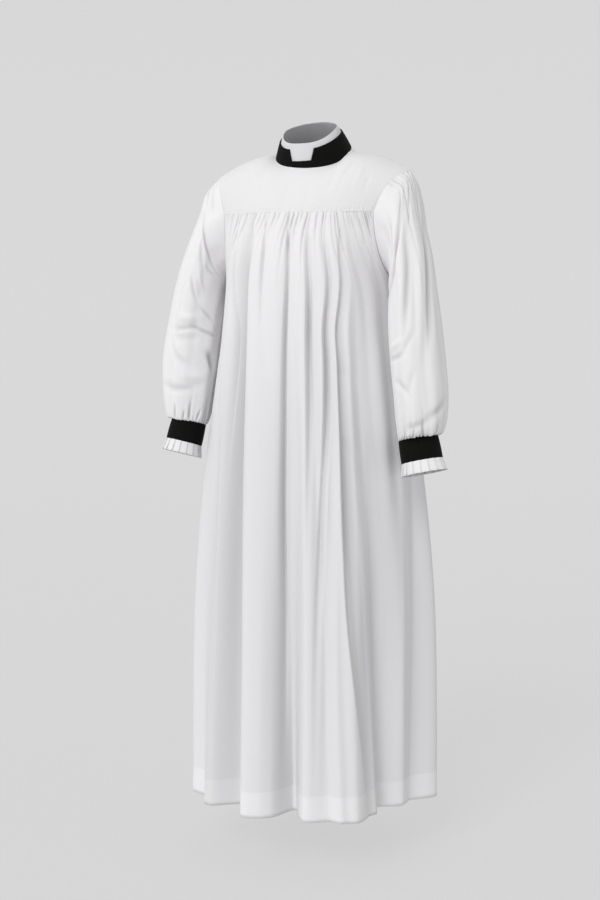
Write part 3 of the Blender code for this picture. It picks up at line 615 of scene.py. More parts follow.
def bell(offset, left, right=None):
    """1 at no offset, falling smoothly to 0 at left before it and at right, or left, after it."""
    reach = np.where(offset < 0, left, left if right is None else right)
    return 0.5 + 0.5 * np.cos(math.pi * np.clip(offset / reach, -1.0, 1.0))


def pointed(offset, left, right=None):
    """The same with a sharp line at its middle."""
    reach = np.where(offset < 0, left, left if right is None else right)
    return (1.0 - np.clip(np.abs(offset) / reach, 0.0, 1.0)) ** 1.8


def edge_fade(u, width):
    """1 over a panel, falling to 0 over a width at its edges, which lie at -1 and 1."""
    return smooth((1 - abs(u)) / width)


def gather_fade(away, length, start):
    """How a gather's depth grows over start, away from its seam, and dies away over its length."""
    return np.exp(-((away / length) ** 1.6)) * (0.10 + 0.90 * smooth(away / start))


def turned_from(angle, middle):
    """Degrees from a middle to an angle, the shorter way round."""
    return (angle - middle + 180) % 360 - 180


def seam_dip(away):
    """How far cloth turns in beside a seam, as a negative rise."""
    return -SEAM_DIP * bell(away, SEAM_DIP_WIDTH)


def side_dip(across):
    """The same along both sides of a piece."""
    return seam_dip(np.abs(across[:, -1:]) - np.abs(across))


def settled(points, share):
    """The points averaged with those above and below them, by a share for each column."""
    for _ in range(SETTLING_PASSES):
        between = (points[:-2] + points[2:]) / 2
        points[1:-1] += (between - points[1:-1]) * 0.5 * share[..., None]
    return points


def unit(vectors):
    """The vectors at length 1."""
    return vectors / np.linalg.norm(vectors, axis=-1, keepdims=True)


def outward_of(points, closed=False):
    """The directions square to a grid of points, away from the body's or the sleeve's middle."""
    if closed:
        ring = points[:, :-1]
        across = np.roll(ring, -1, axis=1) - np.roll(ring, 1, axis=1)
        across = np.concatenate([across, across[:, :1]], axis=1)
        hearts = ring.mean(axis=1, keepdims=True)
    else:
        across = np.gradient(points, axis=1)
        hearts = points * (0, 0, 1)
    direction = unit(np.cross(np.gradient(points, axis=0), across) + 1e-12)
    away = (direction * (points - hearts)).sum()
    return direction * (1 if away > 0 else -1)


def raised(points, rise, closed=False):
    """The points moved outward by their rises."""
    return points + outward_of(points, closed) * rise[..., None]


def spans(points, axis=0):
    """How far each point of a grid is from the next one along an axis."""
    return np.linalg.norm(np.diff(points, axis=axis), axis=-1)


def cloth_lengths(points):
    """Metres across each row from its middle, and down each column from its top."""
    across = np.pad(spans(points, 1).cumsum(axis=1), ((0, 0), (1, 0)))
    down = np.pad(spans(points).cumsum(axis=0), ((1, 0), (0, 0)))
    return across - across[:, -1:] / 2, down


def drape(top, foot, bulge, count):
    """Rows of points on a bow from the top to the foot, bulging towards the corner above the foot."""
    middle = (top + foot) / 2
    corner = np.stack([middle[:, 0], foot[:, 1], top[:, 2]], axis=-1)
    control = middle * (1 - bulge) + corner * bulge
    t = np.linspace(0, 1, count)[:, None, None]
    return top * (1 - t) ** 2 + control * 2 * t * (1 - t) + foot * t**2


def wrinkle_rise(table, across, down):
    """How far a table's wrinkles stand out, at places in metres across and down a piece."""
    rise = np.zeros(across.shape)
    for row in table:
        start = np.array([row.across0, row.down0]) / 1000
        run = np.array([row.across1, row.down1]) / 1000 - start
        length = np.hypot(*run)
        along = ((across - start[0]) * run[0] + (down - start[1]) * run[1]) / length**2
        aside = ((across - start[0]) * run[1] - (down - start[1]) * run[0]) / length
        aside = aside - row.bow / 1000 * 4 * along * (1 - along)
        ends = smooth(along / 0.5 + 0.12) * smooth((1 - along) / 0.5 + 0.12)
        width = row.width / 1000
        profile = bell(aside, width)
        # A crease has a sharper line at its bottom than a ridge has at its top.
        if row.rise < 0:
            profile = 0.55 * profile + 0.45 * pointed(aside, 1.3 * width)
        rise += row.rise / 1000 * profile * ends
    return rise


def uneven(count, seed, low=0.0, high=1.0):
    """The same run of uneven numbers each time."""
    return np.random.default_rng(seed).uniform(low, high, count)


def drifting(across, down, count, seed):
    """Soft ripples that run down a piece: count of them across it, of uneven height and width."""
    starts = uneven(count, seed, -0.35, 0.35)
    heights = uneven(count, seed + 1, 0.35, 1.0)
    sways = uneven(count, seed + 2, -0.9, 0.9)
    waves = uneven(count, seed + 3, 2.0, 7.0)
    rise = 0.0
    pitch = 2.0 / count
    for k in range(count):
        middle = -1 + pitch * (k + 0.5 + starts[k])
        middle = middle + 0.25 * pitch * np.sin(waves[k] * down + 6 * sways[k])
        height = heights[k] * (0.65 + 0.35 * np.sin(waves[k] * 1.7 * down + 5 * starts[k]))
        rise += height * bell(across - middle, pitch * 0.62)
    return rise - rise.mean()


class Panel:
    """The front or the back of the gown below its yoke."""

    def __init__(self, side, armhole_y, folds, creases, hollows, wrinkles, seed):
        self.side = side
        self.face = "front" if side > 0 else "back"
        self.armhole_y = armhole_y
        self.folds = folds
        self.creases = creases
        self.hollows = hollows
        self.wrinkles = wrinkles
        self.seed = seed

    def edge(self, z):
        """The panel's edge, without its side: on the armhole, or below it on the side seam."""
        down = np.clip((YOKE_SEAM_Z - z) / (YOKE_SEAM_Z - UNDERARM_Z), 0, 1)
        armhole_x = ARMHOLE_TOP_X + (ARMHOLE_LOW_X - ARMHOLE_TOP_X) * down**2
        across = np.where(z > UNDERARM_Z, armhole_x, level("half_width", z))
        return across, self.armhole_y * np.sqrt(1 - down**2)

    def plain(self, u, z):
        """Points of the panel with no gathers or folds, a row for each z and a column for each u."""
        z = np.reshape(z, (-1, 1))
        across, edge_y = self.edge(z)
        middle_y = -self.side * level(self.face, z)
        turn = np.radians(level(self.face + "_turn", z))
        angle = u * turn
        share = (np.cos(angle) - np.cos(turn)) / (1 - np.cos(turn))
        x = self.side * across * np.sin(angle) / np.sin(turn)
        y = edge_y + (middle_y - edge_y) * share
        return np.stack([x, y, np.broadcast_to(z, x.shape)], axis=-1)

    def fold_rise(self, u, z):
        """How far the long folds stand out."""
        rise = 0.0
        for fold in self.folds:
            middle = curve(FOLD_LEVELS, fold[0:4], -z)
            height = curve(FOLD_LEVELS, fold[4:8], -z)
            rise += height * bell(u - middle, fold.left, fold.right)
        start = smooth((FOLDS_START_Z - z) / (FOLDS_START_Z + FOLD_LEVELS[0]))
        return rise * start * edge_fade(u, FOLD_EDGE_FADE)

    def crease_rise(self, u, z):
        """How deep the long creases and hollows are, as a negative rise."""
        rise = 0.0
        for rows, profile in ((self.creases, pointed), (self.hollows, bell)):
            for row in rows:
                middle = curve(CREASE_LEVELS, np.array(row.line) / 1000, -z)
                depth = curve(CREASE_LEVELS, row.depth, -z) / 1000
                rise -= depth * profile(u - middle, row.left / 1000, row.right / 1000)
        start = 0.15 + 0.85 * smooth((YOKE_SEAM_Z - z) / 0.025)
        return rise * start * edge_fade(u, FOLD_EDGE_FADE)

    def gather_rise(self, u, z, count, settings):
        """How deep the valleys between the gathers are, as a negative rise."""
        below = YOKE_SEAM_Z - z
        widths = uneven(count, self.seed, 0.5, 1.5)
        places = -1 + 2 * np.cumsum(widths)[:-1] / widths.sum()
        lengths = settings.length * uneven(count, self.seed + 1, 0.25, 1.6) ** 1.3
        depths = settings.rise * uneven(count, self.seed + 2, 0.45, 1.3)
        turns = uneven(count, self.seed + 3, -0.25, 0.25)
        rise = 0.0
        for place, length, depth, turn, width in zip(places, lengths, depths, turns, widths[1:]):
            lean = GATHER_LEAN * (curve(*GATHER_LEANS, place * self.side) + turn) * self.side
            middle = place + lean * (1 - np.exp(-below / GATHER_LEAN))
            # The valley widens as it runs down from the seam.
            half = 0.34 * (width + 0.6) / count * (1 + 0.9 * smooth(below / 0.05))
            rise -= depth * gather_fade(below, length, 0.004) * pointed(u - middle, half)
        return rise * edge_fade(u, 0.04)

    def ripple_rise(self, u, z, count, settings):
        """Soft ripples into which the gathers run, and which die away lower down."""
        below = YOKE_SEAM_Z - z
        narrow = drifting(u, below, count // 2, self.seed + 20)
        broad = drifting(u, below, count // 4, self.seed + 40)
        narrow_share = smooth(below / 0.03) * (1 - 0.72 * smooth((below - 0.08) / 0.35))
        broad_share = smooth((below - 0.02) / 0.15)
        rise = settings.ripple * (narrow * narrow_share + 0.9 * broad * broad_share)
        return rise * edge_fade(u, 0.06)

    def shape(self, columns, rows, count, settings):
        """The panel's grid of points, with its hem turned up inside."""
        u = np.linspace(-1, 1, columns + 1)[None, :]
        share = np.linspace(0, 1, rows + 1 - HEM_ROWS)[:, None]
        # The rows are closest together at the seam, where the gathers are.
        z = YOKE_SEAM_Z + (HEM_Z - YOKE_SEAM_Z) * share**1.22
        plain = settled(self.plain(u, z), edge_fade(u, 0.12))
        across, down = cloth_lengths(plain)
        creases = self.crease_rise(u, z)
        gathers = self.gather_rise(u, z, count, settings)
        wrinkles = wrinkle_rise(self.wrinkles, across, down) * edge_fade(u, 0.05)
        # Painted shade: valley sets how much the cloth's colour is greyed in its creases, gathers and
        # wrinkles.
        valley = smooth(-(creases + 1.6 * gathers + 2 * wrinkles) / VALLEY_DEPTH)
        rise = self.fold_rise(u, z) + creases + gathers + wrinkles
        rise += self.ripple_rise(u, z, count, settings) + side_dip(across)
        body = raised(plain, rise)
        # The hem follows the cloth outside it, from the fold up.
        turned_z = np.linspace(HEM_Z, HEM_Z + HEM_DEPTH, HEM_ROWS)
        facing = outward_of(body) * (1, 1, 0)
        turned, inward = (curve(-z[:, 0], part, -turned_z) for part in (body, facing))
        growth = smooth(np.linspace(0, 1, HEM_ROWS) * 6)[:, None, None]
        gap = HEM_GAP_GROWTH * growth + HEM_GAP
        points = np.concatenate([body, turned - inward * gap])
        valley = np.concatenate([valley, np.repeat(valley[-1:], HEM_ROWS, axis=0)])
        return Shape(points, np.abs(points[..., 2] - HEM_Z - HEM_DEPTH + STITCH_INSET), valley)


FRONT = Panel(
    1, ARMHOLE_FRONT_Y, FRONT_FOLDS, FRONT_CREASES, FRONT_HOLLOWS, FRONT_WRINKLES, seed=11
)
BACK = Panel(-1, ARMHOLE_BACK_Y, BACK_FOLDS, BACK_CREASES, BACK_HOLLOWS, BACK_WRINKLES, seed=71)


def neck_point(angle, up, radius=NECK_RADIUS):
    """Points of the neck's cone. The angle runs from the front, and up is along the neck."""
    angle, up, radius = np.broadcast_arrays(angle, up, radius)
    out = radius - NECK_SLOPE_IN * up
    x = out * np.sin(angle)
    y = -out * np.cos(angle)
    ring = np.stack([x, y * math.cos(NECK_TILT), y * math.sin(NECK_TILT)], axis=-1)
    return ring + NECK_AXIS * up[..., None]


def neckline(angle):
    """The neck seam's place up the slope of the neck: it dips at the front."""
    return -curve([dip.angle for dip in NECKLINE], [dip.down for dip in NECKLINE], np.degrees(angle))


def yoke_shape(panel, columns, rows, wrinkles):
    """A yoke's grid of points, from the neck and shoulder seams down to the gathered panel."""
    u = np.linspace(-1, 1, columns + 1)
    on_neck = np.abs(u) <= YOKE_NECK_SHARE
    place = np.clip(u / YOKE_NECK_SHARE, -1, 1) * math.pi / 2
    angle = place if panel.side > 0 else np.copysign(math.pi, -place) + place
    top = neck_point(angle, neckline(angle) + NECK_TUCK, NECK_RADIUS - NECK_TUCK_IN)
    share = np.clip((np.abs(u) - YOKE_NECK_SHARE) / (1 - YOKE_NECK_SHARE), 0, 1)[:, None]
    tip = SHOULDER_TIP * np.stack([panel.side * np.sign(u), 0 * u, 0 * u + 1], axis=-1)
    seam = top * (1 - share) + tip * share
    seam[:, 2:] += SHOULDER_SEAM_RISE * 4 * share * (1 - share)
    seam[:, 1] = 0
    top = np.where(on_neck[:, None], top, seam)
    to_side = np.clip(np.abs(u) / YOKE_NECK_SHARE, 0, 1)[:, None]
    middle_bulge = YOKE_BULGE_FRONT if panel.side > 0 else YOKE_BULGE_BACK
    bulge = middle_bulge + (YOKE_BULGE_SHOULDER - middle_bulge) * to_side
    points = drape(top, panel.plain(u, YOKE_SEAM_Z)[0], bulge, rows + 1)
    for _ in range(SETTLING_PASSES):
        inner = points[1:-1, 1:-1]
        beside = points[1:-1, :-2] + points[1:-1, 2:] + points[:-2, 1:-1] + points[2:, 1:-1]
        points[1:-1, 1:-1] = inner * 0.5 + beside * 0.125
    across, down = cloth_lengths(points)
    to_foot = down[-1:] - down
    rise = wrinkle_rise(wrinkles, across, down)
    # The turnings inside lift the cloth below the topstitching, and the stitches draw it in.
    rise += 0.0003 * (1 - smooth((to_foot - 0.0065) / 0.0025)) * smooth(to_foot / 0.002 + 0.3)
    rise -= 0.0004 * bell(to_foot - TOPSTITCH, 0.0014)
    rise += side_dip(across) + seam_dip(down) * (~on_neck) + puckers(across, to_foot)
    return Shape(raised(points, rise), np.abs(to_foot - TOPSTITCH))


def puckers(across, to_seam):
    """Small puckers along a row of stitches above a gathered seam."""
    wave = np.sin(across * FULL_TURN / 0.0086) + 0.6 * np.sin(across * FULL_TURN / 0.0133 + 1)
    return 0.00070 * wave * bell(to_seam - 0.004, 0.004, 0.010)


def armhole_loop(side, columns):
    """Points round an armhole, from the shoulder tip down the front and up the back."""
    halves = []
    tip = np.array([SHOULDER_TIP]) * (side, 1, 1)
    drop = np.sin(np.linspace(0, math.pi / 2, ARMHOLE_STEPS)[1:])
    z = YOKE_SEAM_Z + (UNDERARM_Z - YOKE_SEAM_Z) * drop
    for panel in (FRONT, BACK):
        end = side * panel.side
        foot = panel.plain(end, YOKE_SEAM_Z)[0]
        beside_yoke = drape(tip, foot, YOKE_BULGE_SHOULDER, ARMHOLE_STEPS)
        edge = np.concatenate([beside_yoke, panel.plain(end, z)])[:, 0]
        length = np.append(0, spans(edge).cumsum())
        targets = np.linspace(0, length[-1], columns // 2 + 1)
        halves.append(np.stack([np.interp(targets, length, part) for part in edge.T], axis=-1))
    front, back = halves
    return np.concatenate([front, back[::-1][1:]])


def band_ring(wrist, turn, down, wider):
    """Points round a wrist, down its axis from the top of the band."""
    axis = unit(np.array([wrist.lean_x, wrist.lean_y, -1.0]))
    deep = np.array([0.0, -1.0, 0.0])
    deep = unit(deep - axis * (deep @ axis))
    across = np.cross(deep, axis)
    across = across * (1 if across[0] * wrist.side > 0 else -1)
    turn, down, wider = np.broadcast_arrays(turn, down, wider)
    out = across * ((wrist.across + wider) * np.cos(turn))[..., None]
    forward = deep * ((wrist.deep + wider) * np.sin(turn))[..., None]
    return np.array(wrist.top) + axis * down[..., None] + out + forward


def clear_of_body(points, clearance):
    """The points moved sideways until they are clear of the body below the underarm."""
    z = points[..., 2]
    half_width = level("half_width", z)
    depth = np.where(points[..., 1] < 0, level("front", z), level("back", z))
    ratio = np.clip(points[..., 1] / depth, -1, 1)
    body_x = half_width * np.sqrt(1 - ratio**2) + clearance
    near = (z < UNDERARM_Z) & (np.abs(points[..., 0]) < body_x) & (np.abs(ratio) < 1)
    cleared = points.copy()
    cleared[..., 0] = np.where(near, np.copysign(body_x, points[..., 0]), points[..., 0])
    return cleared


def sleeve_shape(rings, bends, creases, wrist, settings, seed):
    """A sleeve's grid of points, from its armhole to its wristband."""
    columns, rows = SLEEVE_GRID
    degrees = np.linspace(0, 360, columns + 1)[None, :]
    turn = np.radians(degrees)
    # The base runs through the armhole, the rings, and the cuff that turns in at the wristband.
    loops = [armhole_loop(wrist.side, columns)]
    for ring in rings:
        top = np.array([wrist.side * ring.top_x, ring.y, ring.top_z])
        under = np.array([wrist.side * ring.under_x, ring.y, ring.under_z])
        middle, reach = (top + under) / 2, (top - under) / 2
        forward = np.array([0, -ring.depth, 0])
        loops.append(middle + reach * np.cos(turn[0])[:, None] + forward * np.sin(turn[0])[:, None])
    cuff = band_ring(wrist, turn[0], -0.0002, -0.0004)
    turn_in = loops[-1] * 0.34 + cuff * 0.66 + np.array([0, 0, -0.0035])
    inside = band_ring(wrist, turn[0], 0.0030, -0.0032)
    loops = np.array(loops + [turn_in, cuff, inside])
    keys = np.append(0, spans(loops).mean(axis=1).cumsum())
    length = keys[-2]
    share = np.linspace(0, 1, rows + 1)[:, None]
    # The rows are closest together at both ends, where the gathers are.
    eased = share - 0.10 * np.sin(FULL_TURN * share) / FULL_TURN
    base = curve(keys, loops, eased[:, 0] * keys[-1])
    along = eased / (length / keys[-1])
    rise = 0.0
    for bend in bends:
        middle = bend.angle_head + (bend.angle_wrist - bend.angle_head) * along
        height = curve((0.0, 0.5, 1.0), (bend.rise_head, bend.rise_elbow, bend.rise_wrist), along)
        rise += 0.5 * height * bell(turned_from(degrees, middle), bend.width)
    folds = sleeve_creases(creases, degrees, along, length)
    rise += folds + sleeve_ripples(turn, along, seed)
    rise *= smooth(along / 0.03) * smooth((1 - along) / 0.04)
    gathers = sleeve_gathers(degrees, along, settings, seed)
    # Painted shade: valley sets how much the sleeve's colour is greyed in its creases and gathers.
    valley = smooth(-(folds + gathers) / SLEEVE_VALLEY_DEPTH)
    rise += gathers + seam_dip(along * length)
    points = clear_of_body(raised(base, rise, closed=True), settings.clearance)
    return Shape(points, np.ones(rise.shape), valley)


def sleeve_creases(table, degrees, along, length):
    """How far a sleeve's creases stand out, alike at both edges of its grid."""
    rise = 0.0
    places = np.broadcast_arrays(np.radians(degrees) * SLEEVE_RADIUS, along * length)
    for lap in (-360, 0, 360):
        flat = [
            row._replace(
                across0=math.radians(row.across0 + lap) * SLEEVE_RADIUS * 1000,
                across1=math.radians(row.across1 + lap) * SLEEVE_RADIUS * 1000,
                down0=row.down0 * length,
                down1=row.down1 * length,
            )
            for row in table
        ]
        rise += wrinkle_rise(flat, *places)
    return rise


def sleeve_ripples(turn, along, seed):
    """Soft ripples that run down a sleeve, alike at both edges of its grid."""
    rise = 0.0
    phases = uneven(12, seed + 5, 0, FULL_TURN)
    sways = uneven(12, seed + 6, -1.5, 1.5)
    for waves, (phase, sway) in enumerate(zip(phases, sways), start=5):
        height = 0.00026 * (0.6 + 0.4 * np.sin(5 * along + phase))
        rise += height * np.sin(waves * turn + phase + sway * along * 2)
    return rise


def sleeve_gathers(degrees, along, settings, seed):
    """How deep the valleys between a sleeve's gathers are, as a negative rise."""
    rows = (
        (settings.head, -58, 46, settings.head_rise, 0.03, 0.26, along, 0.0),
        (settings.wrist, 0, 360, settings.wrist_rise, 0.03, 0.13, 1 - along, 55.0),
    )
    rise = 0.0
    for n, (count, start, end, depth, short, long, away, lean) in enumerate(rows):
        pitch = (end - start) / count
        places = start + pitch * (np.arange(count) + 0.5 + uneven(count, seed + n, -0.3, 0.3))
        depths = depth * uneven(count, seed + 10 + n, 0.4, 1.3)
        lengths = short + (long - short) * uneven(count, seed + 20 + n) ** 1.6
        leans = lean * uneven(count, seed + 30 + n, -1, 1)
        away = np.clip(away, 0, 1)
        half = pitch * 0.55 * (1 + 4 * away)
        for place, height, length, slant in zip(places, depths, lengths, leans):
            valley = pointed(turned_from(degrees, place + slant * away), half)
            rise -= height * gather_fade(away, length, 0.012) * valley
    return rise * (along < 1.002)


def band_section(height, cloth, face_rows=12):
    """Places round a band's cross-section, as (down, inward), closed at its end."""
    radius = cloth / 2
    face = np.linspace(radius, height - radius, face_rows)
    arc = np.linspace(0, math.pi, 7)[1:-1]
    foot = [(height - radius + radius * math.sin(a), radius - radius * math.cos(a)) for a in arc]
    head = [(radius - radius * math.sin(a), radius + radius * math.cos(a)) for a in arc]
    outer = [(down, 0.0) for down in face]
    inner = [(down, cloth) for down in face[::-1]]
    return np.array(outer + foot + inner + head + outer[:1])


def collar_section():
    """Places round the collar's cross-section, as shares of its height and of its thickness."""
    section = band_section(1.0, COLLAR_SECTION, face_rows=14)
    return section[:, :1], section[:, 1:] / COLLAR_SECTION


def wristband_shape(wrist, settings):
    """A wristband's grid of points, right round its cross-section."""
    turn = np.linspace(0, FULL_TURN, BAND_COLUMNS + 1)[None, :]
    section = band_section(settings.height, settings.cloth)
    down = section[:, :1]
    bulge = 0.0005 * np.sin(math.pi * np.clip(down / settings.height, 0, 1))
    sway = 0.00035 * np.sin(3 * turn + 1) * np.sin(math.pi * down / settings.height)
    wider = settings.flare * down / settings.height - section[:, 1:] + bulge + sway
    stitch = np.abs(np.minimum(down, settings.height - down) - STITCH_INSET)
    points = band_ring(wrist, turn, down, wider)
    return Shape(points, np.broadcast_to(stitch, points.shape[:2]))


def frill_shape(wrist, settings):
    """A frill's grid of points: knife pleats, each turned back under the next."""
    # One pleat's steps, how far round each is, past the next pleat and back, and how far out
    per_pleat = np.array([0.00, 0.12, 0.30, 0.50, 0.70, 0.86, 0.95, 0.99, 1.00])
    forward = np.array([0.00, 0.22, 0.52, 0.84, 1.12, 1.30, 1.33, 1.26, 1.00])
    height = np.array([0.00, 0.34, 0.62, 0.82, 0.95, 1.00, 0.82, 0.34, 0.00])
    steps = np.linspace(0, 1, 13)[:-1]
    count = settings.pleats
    place = np.interp(steps, per_pleat, forward) + np.arange(count)[:, None]
    place = np.append(place, count)
    lift = np.append(np.tile(np.interp(steps, per_pleat, height), count), 0.0)
    turn = (place / count * FULL_TURN)[None, :] * -wrist.side
    share = np.linspace(0, 1, 15)[:, None]
    down = settings.height - FRILL_TUCK + (settings.frill_length + FRILL_TUCK) * share
    opening = settings.frill_flare * share + settings.flare
    lean = uneven(count, 5, -0.0006, 0.0006)
    sway = np.append(np.repeat(lean, len(steps)), lean[0])[None, :] * share
    depth = PLEAT_TOP + (settings.pleat_depth - PLEAT_TOP) * share**0.7
    wider = opening - settings.cloth / 2 + depth * (lift[None, :] - 0.5) + sway
    points = band_ring(wrist, turn, down, wider)
    stitch = (1 - share) * settings.frill_length - FRILL_STITCH
    # Painted shade where each pleat turns back under the next.
    valley = 0.6 * (1 - lift) ** 2
    return Shape(points, *(np.broadcast_to(part, points.shape[:2]) for part in (stitch, valley)))


def rise_to_back(angle, front, back, notch):
    """A height that is the front's over the notch and grows to the back's past its sides."""
    return front + (back - front) * smooth((np.abs(angle) - notch) / math.radians(80))


def collar_shape(settings, cloth):
    """The collar's grid of points, right round its cross-section, with the notch in front."""
    even = np.linspace(-math.pi, math.pi, COLLAR_COLUMNS + 1)
    edge = settings.notch
    # Extra columns stand close together at the notch's sides, so that its corners are sharp.
    close = np.array([-0.010, -0.004, 0.0, 0.004, 0.010]) + edge
    sides = np.concatenate([close, -close]) + settings.notch_turn
    angle = np.sort(np.concatenate([even, sides]))[None, :]
    place = angle - settings.notch_turn
    above = rise_to_back(angle, settings.front, settings.back, edge)
    step = smooth((np.abs(place) - edge) / 0.008 + 0.5)
    top = settings.strip + (above - settings.strip) * step
    bottom = neckline(angle)
    down, inward = collar_section()
    up = top + (bottom - top) * down
    # The notch's sides slant, so that it is wider at its top than at its foot.
    lean = 16.0 * (up - settings.front * 0.7) * bell(np.abs(place) - edge, 0.22, 0.30)
    puff = 0.0004 * np.sin(math.pi * np.clip(down, 0, 1)) + 0.0003 * np.sin(5 * angle + 1) * down
    radius = NECK_RADIUS + COLLAR_GAP - cloth * inward + puff
    points = neck_point(angle + place * lean, up, radius)
    return Shape(points, np.abs(np.minimum(up - bottom, top - up) - STITCH_INSET))


def neck_band_shape(settings, cloth):
    """The neckband's grid of points, right round its cross-section."""
    angle = np.linspace(-math.pi, math.pi, COLLAR_COLUMNS + 1)[None, :]
    top = rise_to_back(angle, settings.band_front, settings.band_back, settings.notch)
    down, inward = collar_section()
    up = top + (NECKBAND_FOOT - top) * down
    radius = NECK_RADIUS - cloth - NECKBAND_GAP - NECKBAND_CLOTH * inward
    return Shape(neck_point(angle, up, radius), np.abs(top - up - STITCH_INSET))


def placed(name, data):
    """A new object in the scene."""
    made = bpy.data.objects.new(name, data)
    bpy.context.scene.collection.objects.link(made)
    return made


def meshed(name, sheet):
    """A smooth object with the faces of a bmesh, which ends here."""
    mesh = bpy.data.meshes.new(name)
    sheet.to_mesh(mesh)
    sheet.free()
    mesh.shade_smooth()
    return placed(name, mesh)


def cloth_piece(name, points, stitch, valley, tube=False, closed=False):
    """An object whose grid of faces goes through the points, with its UV map in metres.

    A tube's first column meets its last. A closed piece's first row meets its last as well.
    """
    rows, columns = points.shape[0] - 1, points.shape[1] - 1
    sheet = bmesh.new()
    sheet.loops.layers.uv.new("cloth")
    bmesh.ops.create_grid(sheet, x_segments=columns, y_segments=rows, size=1, calc_uvs=True)
    to_stitch = sheet.verts.layers.float.new("stitch")
    # The valley layer carries how much shade is painted into the cloth's colour.
    in_valley = sheet.verts.layers.float.new("valley")
    out = outward_of(points, closed=tube)
    facing = 0.0
    places = []
    for vertex in sheet.verts:
        column = round((vertex.co.x + 1) / 2 * columns)
        row = round((1 - vertex.co.y) / 2 * rows)
        places.append((row, column))
        vertex.co = points[row, column]
        vertex[to_stitch] = stitch[row, column]
        vertex[in_valley] = 0.0 if valley is None else valley[row, column]
    sheet.normal_update()
    for vertex, place in zip(sheet.verts, places):
        facing += vertex.normal.dot(Vector(out[place]))
    if facing < 0:
        bmesh.ops.reverse_faces(sheet, faces=sheet.faces[:])
    if tube:
        bmesh.ops.remove_doubles(sheet, verts=sheet.verts[:], dist=1e-6)
    if closed:
        bmesh.ops.recalc_face_normals(sheet, faces=sheet.faces[:])
    piece = meshed(name, sheet)
    lay_out(piece.data, points)
    return piece


def lay_out(mesh, points):
    """Stretches the mesh's UV map from a unit square to metres of cloth, down from its top."""
    across = np.append(0, spans(points, 1).mean(axis=0).cumsum())
    down = np.append(0, spans(points).mean(axis=1).cumsum())
    layer = mesh.uv_layers["cloth"].data
    uv = np.zeros(len(layer) * 2)
    layer.foreach_get("uv", uv)
    u, v = uv.reshape(-1, 2).T
    u = np.interp(u * (len(across) - 1), np.arange(len(across)), across)
    v = np.interp((1 - v) * (len(down) - 1), np.arange(len(down)), down)
    layer.foreach_set("uv", np.stack([u, v], axis=-1).ravel())


def dress(node, shape, material, tube=False, closed=False, name=None):
    """Makes the piece that stands for a node, with its finish and its place in the model."""
    piece = cloth_piece((name or node) + "_cloth", *shape, tube=tube, closed=closed)
    piece.data.materials.append(material)
    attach(piece, "root")
    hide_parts(node)


class Wire:
    """A socket of a material's nodes, with arithmetic."""

    def __init__(self, shader, socket):
        self.shader = shader
        self.socket = socket

    def math(self, operation, *values):
        """The result of a Math node."""
        return self.shader.node("ShaderNodeMath", dict(enumerate(values)), operation=operation)

    def __add__(self, other):
        return self.math("ADD", self, other)

    def __radd__(self, other):
        return self.math("ADD", other, self)

    def __sub__(self, other):
        return self.math("SUBTRACT", self, other)

    def __rsub__(self, other):
        return self.math("SUBTRACT", other, self)

    def __mul__(self, other):
        return self.math("MULTIPLY", self, other)

    def __rmul__(self, other):
        return self.math("MULTIPLY", other, self)

    def sine(self):
        """The sine of the value."""
        return self.math("SINE", self)

    def ramp(self, start, end):
        """A smooth rise from 0 at start to 1 at end."""
        inputs = {"Value": self, "From Min": start, "From Max": end, "To Min": 0.0, "To Max": 1.0}
        return self.shader.node("ShaderNodeMapRange", inputs, interpolation_type="SMOOTHSTEP")


class Shader:
    """The nodes of a new material."""

    def __init__(self, name):
        self.material = bpy.data.materials.new(name)
        self.material.use_nodes = True
        self.tree = self.material.node_tree
        self.tree.nodes.clear()

    def node(self, kind, inputs, output=0, **settings):
        """Adds a node, sets its settings and then its inputs, and gives one of its outputs."""
        made = self.tree.nodes.new(kind)
        for name, value in settings.items():
            setattr(made, name, value)
        for name, value in inputs.items():
            if isinstance(value, Wire):
                self.tree.links.new(value.socket, made.inputs[name])
            else:
                made.inputs[name].default_value = value
        return Wire(self, made.outputs[output]) if made.outputs else None

    def split(self, vector):
        """The parts of a vector."""
        return [self.node("ShaderNodeSeparateXYZ", {"Vector": vector}, n) for n in range(3)]

    def noise(self, vector, scale, detail=2.0):
        """Noise about 0, from roughly -0.5 to 0.5."""
        inputs = {"Vector": vector, "Scale": scale, "Detail": detail, "Roughness": 0.55}
        return self.node("ShaderNodeTexNoise", inputs, noise_dimensions="3D") - 0.5

    def mix(self, share, first, second):
        """A colour between two."""
        inputs = {0: share, 6: first, 7: second}
        return self.node("ShaderNodeMix", inputs, output=2, data_type="RGBA")

    def stretched(self, vector, scale):
        """The vector with its parts scaled unevenly."""
        return self.node("ShaderNodeVectorMath", {0: vector, 1: scale}, operation="MULTIPLY")

    def place(self, kind):
        """The cloth's own coordinates, UV, or those of the whole gown, Object."""
        return self.node("ShaderNodeTexCoord", {}, kind)

    def layer(self, name):
        """A layer of numbers that the mesh carries."""
        return self.node("ShaderNodeAttribute", {}, "Fac", attribute_name=name)

    def finished(self, inputs):
        """The material, ended in a Principled surface with these inputs."""
        surface = self.node("ShaderNodeBsdfPrincipled", inputs)
        self.node("ShaderNodeOutputMaterial", {"Surface": surface})
        return self.material


def colour(values):
    """A colour with its alpha."""
    return (*values, 1.0)


